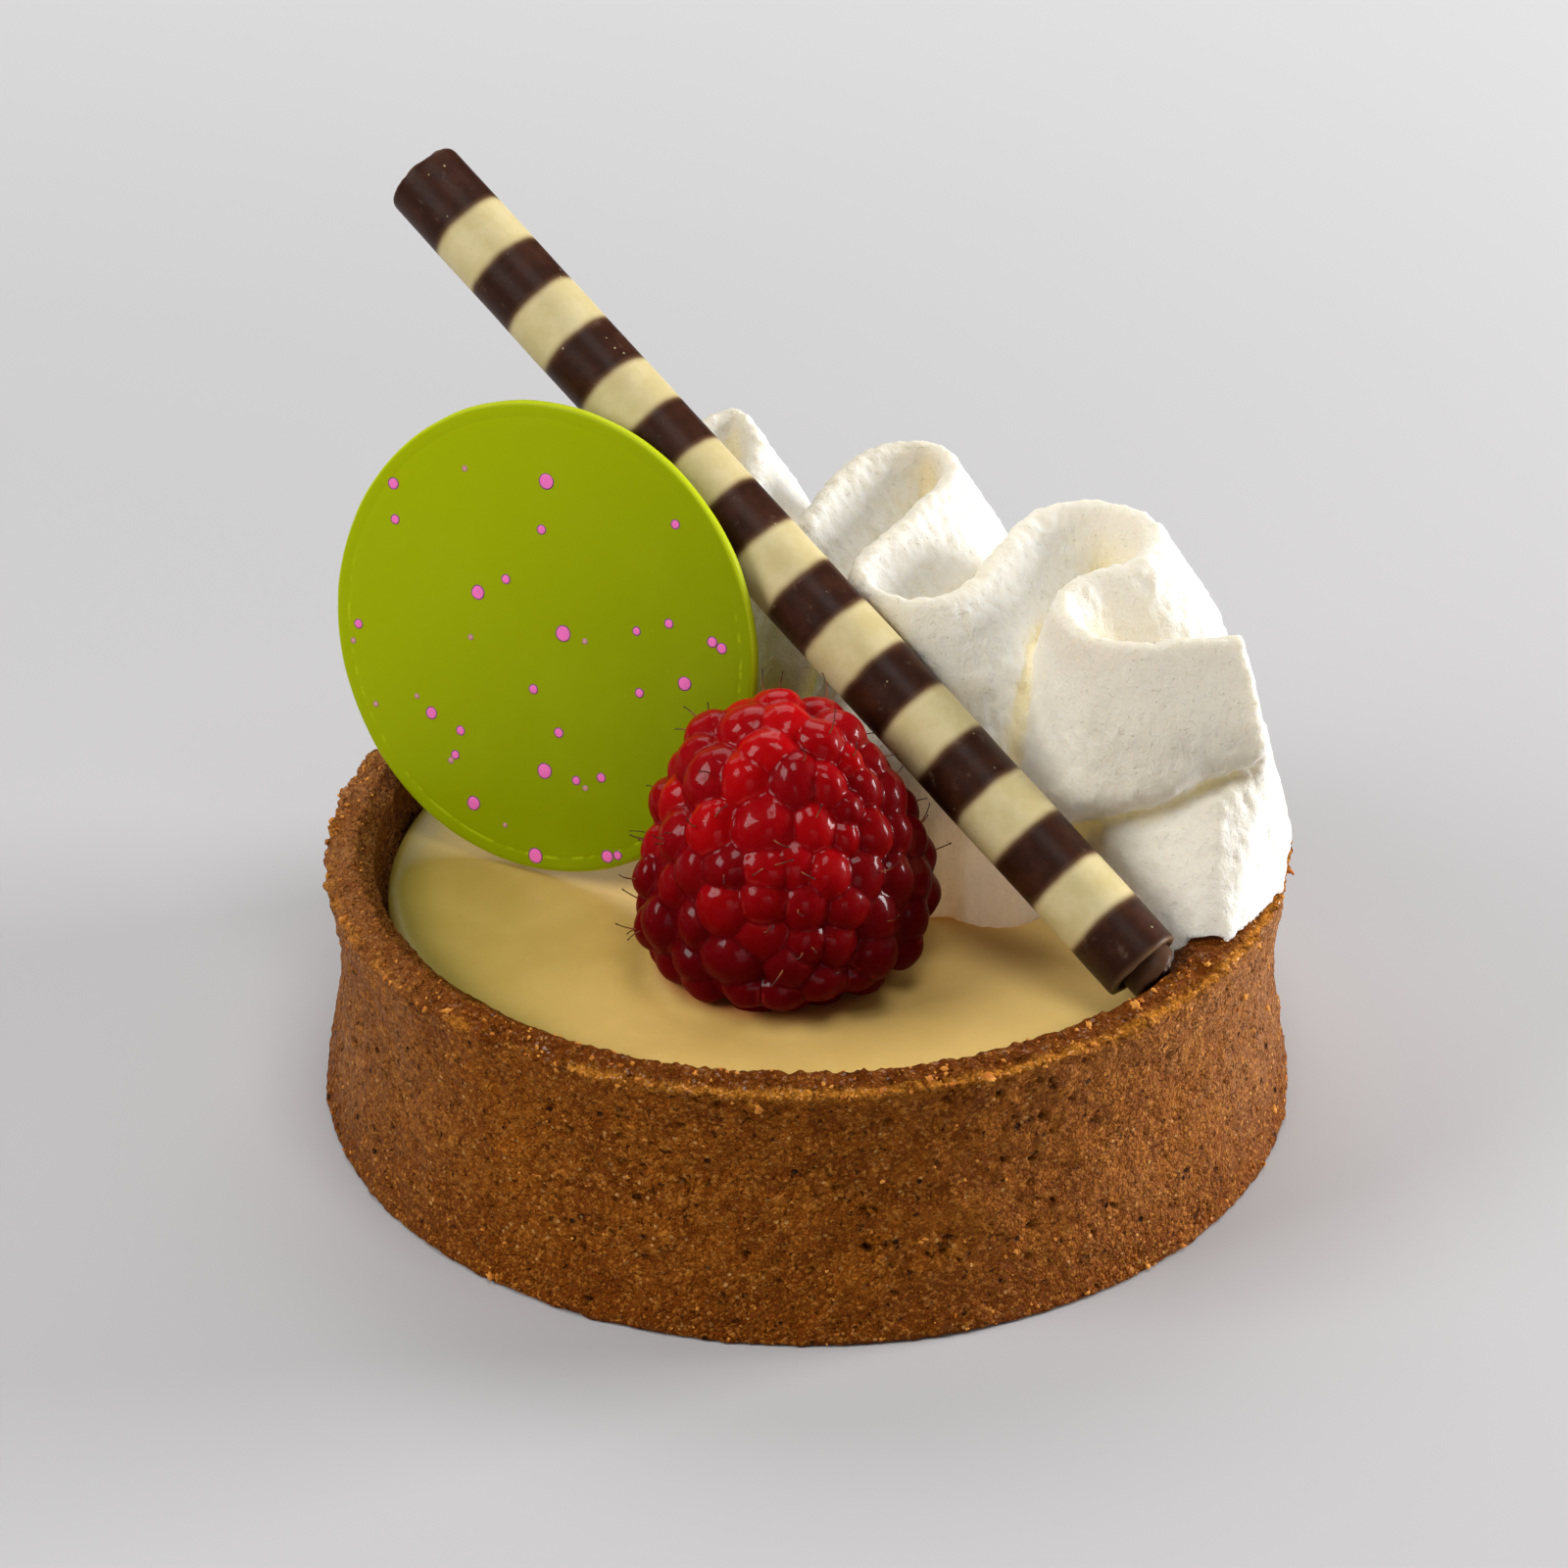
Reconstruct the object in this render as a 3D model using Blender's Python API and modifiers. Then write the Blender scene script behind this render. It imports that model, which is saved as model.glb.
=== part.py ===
"""Individual key lime tart: a straight-sided pastry shell filled with lime custard, topped
with a piped ruffle of whipped cream, a raspberry, a round chocolate disc and a striped
rolled-chocolate pencil. Metres, +Z up, origin at the centre of the shell's base."""

import math
import random

import bmesh
import bpy
from mathutils import Matrix, Vector, noise

MM = 0.001
GAP = 0.3 * MM  # left between pieces that touch

# Pastry shell: a ring with a pinched waist and a rim that slopes outwards
SHELL_HEIGHT = 21.2 * MM  # outer edge of the rim
SHELL_BASE_RADIUS = 38.0 * MM
SHELL_WAIST_RADIUS = 36.2 * MM
SHELL_WAIST_HEIGHT = 13.0 * MM
SHELL_RIM_RADIUS = 37.15 * MM
SHELL_RIM_THICKNESS = 2.8 * MM
SHELL_RIM_RISE = 0.6 * MM  # the rim's inner edge stands this much higher
SHELL_INSIDE_RADIUS = 33.3 * MM  # at the level of the filling
SHELL_DRAFT = 0.5 * MM  # the inside is this much narrower at the floor
SHELL_FLOOR = 3.0 * MM
SHELL_EDGE_ROUND = 0.5 * MM  # between the base and the wall
SHELL_CORNER_ROUND = 2.5 * MM  # between the floor and the wall, inside
SHELL_STEPS = 90
WALL_STEPS = 9  # heights at which the outer wall bends
RIM_TILT = 0.6 * MM  # the right of the rim stands higher than the left
RIM_RAGGED = 0.22 * MM  # height of the rim's small bumps
RIM_BUMP_WIDTH = 3.2 * MM
RIM_SAG_WIDTH = 12.0 * MM
WALL_WAVES = 0.22 * MM
WALL_WAVE_WIDTH = 7.0 * MM

# Lime custard
FILLING_TOP = 17.5 * MM
FILLING_EDGE_ROUND = 0.9 * MM
FILLING_STEPS = 60

# Chocolate disc, standing on the custard and leaning back on the pencil
DISC_RADIUS = 18.45 * MM
DISC_THICKNESS = 1.5 * MM
DISC_FRONT_CENTRE = Vector((-20.4, 4.0, 35.95)) * MM
DISC_FACING = Vector((-0.46, -0.861, 0.215)).normalized()
DISC_EDGE_ROUND = 0.4 * MM
DISC_SIDES = 64

# Rolled-chocolate pencil: its low end is inside the rim at the right
PENCIL_RADIUS = 3.15 * MM
PENCIL_LENGTH = 83.5 * MM
PENCIL_SHEET = 0.75 * MM
PENCIL_LAYER_GAP = 0.25 * MM
PENCIL_TURNS = 2.3
PENCIL_SIDES = 32
PENCIL_LOW_END = Vector((24.64, -20.2, 21.55)) * MM
PENCIL_DIRECTION = Vector((-0.6544, 0.5411, 0.5281)).normalized()
PENCIL_SEAM = Vector((0.65, 0.74, 0.23))  # the sheet's outer edge lies on this side
PENCIL_TUCK = 0.28  # share of a turn in which the sheet slips under its outer edge
PENCIL_CORE_OUT = 1.5 * MM  # the innermost turn sticks out this far at the low end

# Raspberry, tip up on the custard
BERRY_FOOT = Vector((-1.5, -13.0, 17.8)) * MM
BERRY_HEIGHT = 21.4 * MM
BERRY_RADIUS = 11.2 * MM
BERRY_FOOT_RADIUS = 7.5 * MM
BERRY_WIDEST = 0.27  # as a share of the height
BERRY_LEAN = Vector((-1.2, 0.3, 0.0)) * MM  # of the tip against the foot
BERRY_DEPTH = 0.93  # its front-to-back size against its width
BERRY_FACES = 3500
BERRY_CORE_INSET = 1.6 * MM  # the drupelets' core under the outer surface
BERRY_ROOM = 1.35 * MM  # the cream stays this far from the berry's smooth outer form
DRUPELET_RADIUS = 2.5 * MM
DRUPELET_SUNK = 1.95 * MM  # of a drupelet's centre under the berry's surface
FIRST_ROW = 1.2 * MM  # up the surface from the foot
ROW_SPACING = 3.55 * MM
DRUPELET_SPACING = 4.3 * MM

# Whipped cream: the thin top edge of a piped ruffle, from the back left round to the right
RUFFLE_EDGE = (
    (-9.0, 19.0, 42.5), (-9.4, 24.5, 43.4), (-6.1, 28.2, 44.0), (-4.2, 24.6, 43.6),
    (-4.2, 18.0, 42.8), (-2.8, 11.8, 42.4), (-0.4, 11.6, 42.5), (2.2, 17.2, 43.2),
    (5.4, 21.4, 43.9), (9.8, 22.1, 44.0), (11.2, 18.0, 43.7), (8.4, 12.3, 43.1),
    (4.3, 5.8, 42.4), (4.4, 1.8, 41.9), (8.0, -0.1, 41.6), (11.9, 1.4, 41.9),
    (14.8, 6.4, 42.6), (17.9, 11.2, 43.5), (22.6, 11.8, 44.0), (26.2, 8.4, 44.0),
    (25.4, 3.9, 43.3), (20.9, 2.2, 42.4), (18.9, -0.8, 41.9), (20.3, -5.2, 41.6),
    (24.3, -7.2, 41.5), (28.5, -6.5, 41.7), (32.2, -6.6, 42.0),
)
RUFFLE_STEPS = 5  # sections between two points of the edge
RUFFLE_EDGE_WIDTH = 1.5 * MM
RUFFLE_SPREAD = 0.27  # how much each side widens for each unit down
RUFFLE_SWING = Vector((0.65, 0.76, 0.0))  # from the folds at the front to those at the back
RUFFLE_SLOPE = 0.55  # more of it on the near face of each run back to the front
RUFFLE_SLOPE_DEPTH = 7.0 * MM
RUFFLE_END_SLOPE = 0.22  # how far the cut end runs out for each unit down
RUFFLE_DEPTH = 28.0 * MM
RUFFLE_END_DEPTHS = (1.0, 1.0, 0.93, 0.56, 0.46, 0.37)  # shares of it under the last points
RUFFLE_TUCK = 0.3  # how much of its width a section loses at its foot
RUFFLE_REACH = 32.6 * MM  # it stays inside the rim
RUFFLE_END_REACH = 36.4 * MM  # the last loop stands on the rim
TAIL_FOOT = ((21.0, -2.5), (22.5, -9.5), (27.0, -15.6), (30.6, -17.2), (35.4, -9.0),
             (36.8, -2.2), (30.0, 2.0))
TAIL_TOP = ((22.5, -4.0, 29.0), (24.0, -6.3, 29.0), (29.6, -8.0, 31.0), (34.3, -6.4, 33.5),
            (34.0, -2.5, 33.0), (29.0, -1.0, 31.0))
CREAM_VOXEL = 0.6 * MM
CREAM_FACES = 3500

LIME_GREEN = (0.30, 0.36, 0.01, 1.0)
CUSTARD = (0.52, 0.36, 0.12, 1.0)
BAKED_BROWN = (0.26, 0.10, 0.025, 1.0)
BERRY_RED = (0.42, 0.004, 0.012, 1.0)
CREAM_WHITE = (0.86, 0.82, 0.70, 1.0)
DARK_CHOCOLATE = (0.055, 0.026, 0.02, 1.0)


def clear_scene():
    for thing in list(bpy.data.objects):
        bpy.data.objects.remove(thing, do_unlink=True)


def new_collection(name):
    found = bpy.data.collections.new(name)
    bpy.context.scene.collection.children.link(found)
    return found


def new_material(name, colour, roughness):
    material = bpy.data.materials.new(name)
    material.use_nodes = True
    shader = material.node_tree.nodes["Principled BSDF"]
    shader.inputs["Base Color"].default_value = colour
    shader.inputs["Roughness"].default_value = roughness
    shader.inputs["Metallic"].default_value = 0.0
    return material


def object_from(shape, name, collection):
    """An object from a bmesh, which is freed."""
    mesh = bpy.data.meshes.new(name)
    shape.normal_update()
    shape.to_mesh(mesh)
    shape.free()
    made = bpy.data.objects.new(name, mesh)
    collection.objects.link(made)
    return made


def finish(piece, material, sharp_degrees=40.0):
    piece.data.materials.clear()
    piece.data.materials.append(material)
    piece.data.shade_smooth()
    piece.data.set_sharp_from_angle(angle=math.radians(sharp_degrees))


def make_cutter(piece):
    piece.hide_render = True
    piece.display_type = "WIRE"


def freeze(piece):
    """Makes the evaluated mesh the object's own, so that its modifiers are applied."""
    graph = bpy.context.evaluated_depsgraph_get()
    frozen = bpy.data.meshes.new_from_object(piece.evaluated_get(graph))
    piece.modifiers.clear()
    piece.data = frozen


def fewer_faces(piece, triangles):
    """Collapses edges until about this many triangles are left."""
    piece.data.calc_loop_triangles()
    thin = piece.modifiers.new("fewer faces", "DECIMATE")
    thin.ratio = min(1.0, triangles / len(piece.data.loop_triangles))
    freeze(piece)


def cut(piece, cutter):
    boolean = piece.modifiers.new("cut " + cutter.name, "BOOLEAN")
    boolean.operation = "DIFFERENCE"
    boolean.solver = "EXACT"
    boolean.object = cutter


def turned(name, profile, steps, collection):
    """A solid turned round Z from (radius, height) points, inside top to base centre."""
    shape = bmesh.new()
    points = [shape.verts.new((radius, 0.0, height)) for radius, height in profile]
    for first, second in zip(points, points[1:]):
        shape.edges.new((first, second))
    piece = object_from(shape, name, collection)
    screw = piece.modifiers.new("turn", "SCREW")
    screw.axis = "Z"
    screw.steps = steps
    screw.render_steps = steps
    screw.use_merge_vertices = True
    screw.merge_threshold = 0.00001
    freeze(piece)
    return piece


def arc(centre, radius, start_degrees, end_degrees, count):
    """Points of an arc in the profile plane, angles from +X towards +Z."""
    points = []
    for i in range(count + 1):
        angle = math.radians(start_degrees + (end_degrees - start_degrees) * i / count)
        points.append((centre[0] + radius * math.cos(angle), centre[1] + radius * math.sin(angle)))
    return points


def wall_radius(height):
    """The shell's outer radius: widest at the base, pinched at the waist."""
    if height < SHELL_WAIST_HEIGHT:
        share = 1.0 - height / SHELL_WAIST_HEIGHT
        return SHELL_WAIST_RADIUS + (SHELL_BASE_RADIUS - SHELL_WAIST_RADIUS) * share**1.5
    share = (height - SHELL_WAIST_HEIGHT) / (SHELL_HEIGHT - SHELL_WAIST_HEIGHT)
    return SHELL_WAIST_RADIUS + (SHELL_RIM_RADIUS - SHELL_WAIST_RADIUS) * share**2


def rim_profile(grow):
    """From the inside of the wall at the filling, over the rim, to its outer edge.
    grow moves it outwards from the pastry, for the cream's cutter."""
    inner_edge = SHELL_RIM_RADIUS - SHELL_RIM_THICKNESS
    inner_height = SHELL_HEIGHT + SHELL_RIM_RISE
    inner_round = 0.6 * MM
    outer_round = 0.35 * MM
    points = [(SHELL_INSIDE_RADIUS - grow, FILLING_TOP)]
    points += arc((inner_edge + inner_round, inner_height - inner_round), inner_round + grow,
                  170, 80, 3)
    points += arc((SHELL_RIM_RADIUS - outer_round, SHELL_HEIGHT - outer_round),
                  outer_round + grow, 75, 5, 2)
    return points


def rim_lift(x, y):
    """How much higher or lower the rim stands there than its mean height."""
    place = Vector((x, y, 0.0))
    bumps = noise.noise(place / RIM_BUMP_WIDTH)
    sags = noise.noise(place / RIM_SAG_WIDTH)
    return RIM_TILT * x / SHELL_RIM_RADIUS + RIM_RAGGED * (bumps + sags)


def bake_uneven(piece):
    """Lifts the rim and waves the outer wall, and leaves the base and the inside true."""
    inside = SHELL_INSIDE_RADIUS + GAP
    for vertex in piece.data.vertices:
        x, y, z = vertex.co
        share = max(0.0, (z - SHELL_WAIST_HEIGHT) / (SHELL_HEIGHT - SHELL_WAIST_HEIGHT))
        radius = math.hypot(x, y)
        if radius > inside:
            vertex.co.z += rim_lift(x, y) * min(share, 1.0) ** 1.5
        if radius > SHELL_WAIST_RADIUS - 0.5 * MM and z > SHELL_EDGE_ROUND:
            wave = noise.noise(Vector((x, y, z)) / WALL_WAVE_WIDTH) * WALL_WAVES
            vertex.co.x *= 1.0 + wave / radius
            vertex.co.y *= 1.0 + wave / radius


def make_shell(parts):
    floor_corner = SHELL_INSIDE_RADIUS - SHELL_DRAFT
    profile = [(0.0, SHELL_FLOOR)]
    profile += arc((floor_corner - SHELL_CORNER_ROUND, SHELL_FLOOR + SHELL_CORNER_ROUND),
                   SHELL_CORNER_ROUND, -90, 0, 3)
    profile += rim_profile(0.0)
    for i in range(1, WALL_STEPS + 1):
        height = SHELL_HEIGHT - (SHELL_HEIGHT - SHELL_EDGE_ROUND) * i / WALL_STEPS
        profile.append((wall_radius(height), height))
    profile += [(SHELL_BASE_RADIUS - SHELL_EDGE_ROUND, 0.0), (0.0, 0.0)]
    shell = turned("pastry_shell", profile, SHELL_STEPS, parts)
    bake_uneven(shell)
    return shell


def make_filling(parts):
    side = SHELL_INSIDE_RADIUS - SHELL_DRAFT - GAP
    corner = SHELL_CORNER_ROUND
    profile = [(0.0, FILLING_TOP)]
    profile += arc((side - FILLING_EDGE_ROUND, FILLING_TOP - FILLING_EDGE_ROUND),
                   FILLING_EDGE_ROUND, 90, 0, 3)
    profile += arc((side - corner, SHELL_FLOOR + GAP + corner), corner, 0, -90, 3)
    profile.append((0.0, SHELL_FLOOR + GAP))
    return turned("lime_filling", profile, FILLING_STEPS, parts)


def turn_to(direction, side):
    """A rotation whose Z is direction and whose X is side squared up to it."""
    up = direction.normalized()
    across = (side - up * side.dot(up)).normalized()
    return Matrix((across, up.cross(across), up)).transposed().to_4x4()


def make_disc(parts, name, grow):
    shape = bmesh.new()
    bmesh.ops.create_cone(shape, cap_ends=True, segments=DISC_SIDES, radius1=DISC_RADIUS + grow,
                          radius2=DISC_RADIUS + grow, depth=DISC_THICKNESS + 2.0 * grow)
    disc = object_from(shape, name, parts)
    place = DISC_FRONT_CENTRE - DISC_FACING * (DISC_THICKNESS / 2.0)
    disc.matrix_world = Matrix.Translation(place) @ turn_to(DISC_FACING, Vector((1, 0, 0)))
    bevel = disc.modifiers.new("rounded edge", "BEVEL")
    bevel.width = DISC_EDGE_ROUND
    bevel.segments = 2
    bevel.limit_method = "ANGLE"
    return disc


def make_pencil(parts):
    """A sheet rolled up: a spiral drawn along the axis, then given its thickness."""
    shape = bmesh.new()
    pitch = PENCIL_SHEET + PENCIL_LAYER_GAP
    count = round(PENCIL_TURNS * PENCIL_SIDES)
    middle = PENCIL_RADIUS - PENCIL_SHEET / 2.0
    low, high = [], []
    for i in range(count + 1):
        turn = i / PENCIL_SIDES
        angle = -2.0 * math.pi * turn
        tuck = max(0.0, turn % 1.0 - 1.0 + PENCIL_TUCK) / PENCIL_TUCK
        radius = middle - pitch * (math.floor(turn) + tuck**2 * (3.0 - 2.0 * tuck))
        x, y = radius * math.cos(angle), radius * math.sin(angle)
        out = PENCIL_CORE_OUT * max(0.0, turn - 1.0) / (PENCIL_TURNS - 1.0)
        low.append(shape.verts.new((x, y, -out)))
        high.append(shape.verts.new((x, y, PENCIL_LENGTH - out)))
    for i in range(count):
        shape.faces.new((low[i], low[i + 1], high[i + 1], high[i]))
    pencil = object_from(shape, "chocolate_pencil", parts)
    pencil.matrix_world = Matrix.Translation(PENCIL_LOW_END) @ turn_to(PENCIL_DIRECTION, PENCIL_SEAM)
    sheet = pencil.modifiers.new("sheet", "SOLIDIFY")
    sheet.thickness = PENCIL_SHEET
    sheet.offset = 0.0
    return pencil


def make_pencil_cutter(cutters):
    shape = bmesh.new()
    length = PENCIL_LENGTH + 6.0 * MM
    bmesh.ops.create_cone(shape, cap_ends=True, segments=32, radius1=PENCIL_RADIUS + GAP,
                          radius2=PENCIL_RADIUS + GAP, depth=length)
    cutter = object_from(shape, "pencil room", cutters)
    middle = PENCIL_LOW_END + PENCIL_DIRECTION * (PENCIL_LENGTH / 2.0)
    cutter.matrix_world = Matrix.Translation(middle) @ turn_to(PENCIL_DIRECTION, PENCIL_SEAM)
    make_cutter(cutter)
    return cutter


def berry_radius(share):
    """The berry's outer radius at this share of its height."""
    if share < BERRY_WIDEST:
        low = (BERRY_WIDEST - share) / BERRY_WIDEST
        return BERRY_RADIUS - (BERRY_RADIUS - BERRY_FOOT_RADIUS) * low**3
    high = (share - BERRY_WIDEST) / (1.0 - BERRY_WIDEST)
    return BERRY_RADIUS * math.sqrt(max(0.0, 1.0 - high**1.85))


def berry_rows():
    """(outer radius, height, outward direction) of each row, an even way apart."""
    samples = 400
    rows, walked, due = [], 0.0, FIRST_ROW
    last = (berry_radius(0.0), 0.0)
    for i in range(1, samples + 1):
        share = i / samples
        here = (berry_radius(share), share * BERRY_HEIGHT)
        walked += math.hypot(here[0] - last[0], here[1] - last[1])
        if walked >= due:
            rise = Vector((here[0] - last[0], here[1] - last[1])).normalized()
            rows.append((here[0], here[1], Vector((rise.y, -rise.x))))
            due += ROW_SPACING
        last = here
    return rows


def on_berry(x, y, z):
    """From the upright round berry to its place: leaning and flatter front to back."""
    return BERRY_FOOT + Vector((x, y * BERRY_DEPTH, z)) + BERRY_LEAN * (z / BERRY_HEIGHT)


def berry_body(collection, name, grow):
    """The berry's outer form without its drupelets, grown or shrunk."""
    shape = bmesh.new()
    bmesh.ops.create_uvsphere(shape, u_segments=24, v_segments=14, radius=1.0)
    for vertex in shape.verts:
        share = (vertex.co.z + 1.0) / 2.0
        x, y, flat = vertex.co.x, vertex.co.y, math.hypot(vertex.co.x, vertex.co.y)
        wide = (berry_radius(share) + grow) / flat if flat > 0.01 else 0.0
        tall = share * (BERRY_HEIGHT + grow) + 0.1 * MM
        vertex.co = on_berry(x * wide, y * wide, tall)
    return object_from(shape, name, collection)


def make_berry(parts):
    chance = random.Random(7)
    bumps = new_collection("drupelets")
    shape = bmesh.new()
    ball = bpy.data.meshes.new("drupelet")
    bmesh.ops.create_icosphere(shape, subdivisions=2, radius=1.0)
    shape.to_mesh(ball)
    shape.free()

    for row, (radius, height, outwards) in enumerate(berry_rows()):
        ring = max(0.0, radius - DRUPELET_SUNK * outwards.x)
        level = height - DRUPELET_SUNK * outwards.y
        count = max(1, round(2.0 * math.pi * ring / DRUPELET_SPACING))
        for i in range(count):
            angle = 2.0 * math.pi * (i + 0.5 * (row % 2) + chance.uniform(-0.12, 0.12)) / count
            size = DRUPELET_RADIUS * chance.uniform(0.9, 1.1)
            bump = bpy.data.objects.new("drupelet", ball)
            bumps.objects.link(bump)
            bump.location = on_berry(ring * math.cos(angle), ring * math.sin(angle),
                                     max(level + chance.uniform(-0.25, 0.25) * MM, size * 0.8))
            bump.scale = (size, size, size)
            bump.rotation_euler = (chance.uniform(0, 3), chance.uniform(0, 3), 0.0)
    berry = berry_body(parts, "raspberry", -BERRY_CORE_INSET)
    fuse = berry.modifiers.new("fuse", "BOOLEAN")
    fuse.operation = "UNION"
    fuse.operand_type = "COLLECTION"
    fuse.collection = bumps
    fuse.solver = "EXACT"
    freeze(berry)
    fewer_faces(berry, BERRY_FACES)
    for bump in list(bumps.objects):
        bpy.data.objects.remove(bump, do_unlink=True)
    bpy.data.collections.remove(bumps)
    return berry


def smooth_route(points, steps):
    """A curve through the points, a few steps between each two (Catmull-Rom)."""
    route = [Vector(point) for point in points]
    ends = [route[0] * 2.0 - route[1]] + route + [route[-1] * 2.0 - route[-2]]
    curve = []
    for i in range(1, len(ends) - 2):
        before, start, end, after = ends[i - 1 : i + 3]
        for step in range(steps):
            t = step / steps
            curve.append(0.5 * (2.0 * start + (end - before) * t
                                + (2.0 * before - 5.0 * start + 4.0 * end - after) * t**2
                                + (3.0 * start - before - 3.0 * end + after) * t**3))
    curve.append(route[-1])
    return curve


def end_depth(to_end):
    """The share of its depth that the ruffle has this many points before its end."""
    place = len(RUFFLE_END_DEPTHS) - 1 - to_end
    if place <= 0.0:
        return 1.0
    low = min(int(place), len(RUFFLE_END_DEPTHS) - 2)
    first, second = RUFFLE_END_DEPTHS[low : low + 2]
    return first + (second - first) * (place - low)


def ruffle_shape():
    """The ribbon as a loft: each section is thin at its top edge and widens downwards."""
    edge = smooth_route([Vector(point) * MM for point in RUFFLE_EDGE], RUFFLE_STEPS)
    depths = [0.0, 0.013, 0.045, 0.11, 0.18, 0.25, 0.36, 0.5, 0.65, 0.8, 0.92, 1.0]
    last = len(edge) - 1
    shape = bmesh.new()
    rings = []
    for i, top in enumerate(edge):
        to_end = (last - i) / RUFFLE_STEPS
        whole = RUFFLE_DEPTH * end_depth(to_end)
        reach = RUFFLE_REACH + (RUFFLE_END_REACH - RUFFLE_REACH) * min(max(3.5 - to_end, 0.0), 1.0)
        ahead = edge[min(i + 1, len(edge) - 1)] - edge[max(i - 1, 0)]
        forward = Vector((ahead.x, ahead.y, 0.0)).normalized()
        side = Vector((forward.y, -forward.x, 0.0))
        inwards = max(0.0, -forward.dot(RUFFLE_SWING))
        right, left = [], []
        for share in depths:
            depth = share * whole
            half = RUFFLE_EDGE_WIDTH / 2.0 * (0.45 if depth == 0.0 else 1.0)
            half += RUFFLE_SPREAD * depth
            half *= 1.0 - RUFFLE_TUCK * max(0.0, (share - 0.7) / 0.3) ** 2
            near = RUFFLE_SLOPE * inwards * min(depth, RUFFLE_SLOPE_DEPTH)
            end = forward * (RUFFLE_END_SLOPE * depth * max(0.0, 1.0 - to_end))
            for offset, points in ((side * half, right), (-side * (half + near), left)):
                point = top + offset + end
                out = math.hypot(point.x, point.y)
                if out > reach:
                    point *= reach / out
                points.append(shape.verts.new((point.x, point.y, top.z - depth)))
        rings.append(right + left[::-1])
    for first, second in zip(rings, rings[1:]):
        for i in range(len(first)):
            j = (i + 1) % len(first)
            shape.faces.new((first[i], first[j], second[j], second[i]))
    shape.faces.new(rings[0][::-1])
    shape.faces.new(rings[-1])
    return shape


def tail_shape(shape):
    """The last of the cream, squashed over the rim under the ruffle's end."""
    points = [shape.verts.new(Vector(corner) * MM) for corner in TAIL_TOP]
    for level in (FILLING_TOP - 0.5 * MM, SHELL_HEIGHT - 1.0 * MM):
        points += [shape.verts.new((x * MM, y * MM, level)) for x, y in TAIL_FOOT]
    bmesh.ops.convex_hull(shape, input=points)


def make_tart_cutter(cutters):
    """The room that the shell and the filling take, with the gap round it."""
    over = FILLING_TOP + GAP
    profile = [(0.0, over), (SHELL_INSIDE_RADIUS - GAP - 0.1 * MM, over)]
    profile += rim_profile(GAP)[1:]
    profile += [(SHELL_BASE_RADIUS + 5.0 * MM, SHELL_HEIGHT - 2.0 * MM),
                (SHELL_BASE_RADIUS + 5.0 * MM, -1.0 * MM), (0.0, -1.0 * MM)]
    cutter = turned("tart room", profile, SHELL_STEPS, cutters)
    bake_uneven(cutter)
    make_cutter(cutter)
    return cutter


def make_cream(parts, cutters):
    shape = ruffle_shape()
    cream = object_from(shape, "whipped_cream", parts)
    tail = bmesh.new()
    tail_shape(tail)
    tail.from_mesh(cream.data)
    bmesh.ops.recalc_face_normals(tail, faces=tail.faces)
    tail.to_mesh(cream.data)
    tail.free()
    remesh = cream.modifiers.new("one body", "REMESH")
    remesh.mode = "VOXEL"
    remesh.voxel_size = CREAM_VOXEL
    soften = cream.modifiers.new("soften", "SMOOTH")
    soften.factor = 0.5
    soften.iterations = 2
    freeze(cream)
    fewer_faces(cream, CREAM_FACES)
    berry_room = berry_body(cutters, "berry room", BERRY_ROOM)
    make_cutter(berry_room)
    for cutter in (make_tart_cutter(cutters), make_pencil_cutter(cutters), berry_room):
        cut(cream, cutter)
    return cream


def main():
    clear_scene()
    parts = new_collection("key lime tart")
    cutters = new_collection("cutters")
    cutters.hide_render = True
    shell = make_shell(parts)
    filling = make_filling(parts)
    disc = make_disc(parts, "chocolate_disc", 0.0)
    pencil = make_pencil(parts)
    berry = make_berry(parts)
    cream = make_cream(parts, cutters)
    finish(shell, new_material("baked pastry", BAKED_BROWN, 0.75))
    finish(filling, new_material("lime custard", CUSTARD, 0.3))
    finish(disc, new_material("green chocolate", LIME_GREEN, 0.4))
    finish(pencil, new_material("dark chocolate", DARK_CHOCOLATE, 0.5))
    finish(berry, new_material("raspberry", BERRY_RED, 0.3))
    finish(cream, new_material("whipped cream", CREAM_WHITE, 0.6))
    disc_room = make_disc(cutters, "disc room", GAP)
    make_cutter(disc_room)
    cut(berry, disc_room)
    cut(cream, disc_room)


main()
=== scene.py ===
import math
import random

import bmesh
import bpy
import numpy as np
from mathutils import Matrix, Vector, noise


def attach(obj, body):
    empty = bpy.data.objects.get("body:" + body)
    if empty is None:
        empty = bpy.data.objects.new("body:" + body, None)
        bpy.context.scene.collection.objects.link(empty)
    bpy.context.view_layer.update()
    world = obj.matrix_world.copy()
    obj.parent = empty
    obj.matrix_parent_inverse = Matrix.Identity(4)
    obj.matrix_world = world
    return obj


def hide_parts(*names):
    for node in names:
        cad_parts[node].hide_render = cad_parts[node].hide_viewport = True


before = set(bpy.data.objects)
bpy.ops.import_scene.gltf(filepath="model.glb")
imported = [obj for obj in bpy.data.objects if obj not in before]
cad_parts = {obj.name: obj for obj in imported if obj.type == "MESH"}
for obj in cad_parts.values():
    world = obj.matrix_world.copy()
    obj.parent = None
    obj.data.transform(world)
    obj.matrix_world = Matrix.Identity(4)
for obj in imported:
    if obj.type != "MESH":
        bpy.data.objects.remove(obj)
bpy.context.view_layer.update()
mm = 0.001
noise.seed_set(5)  # else the vector noise is different in each run
print("frame loaded")

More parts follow.
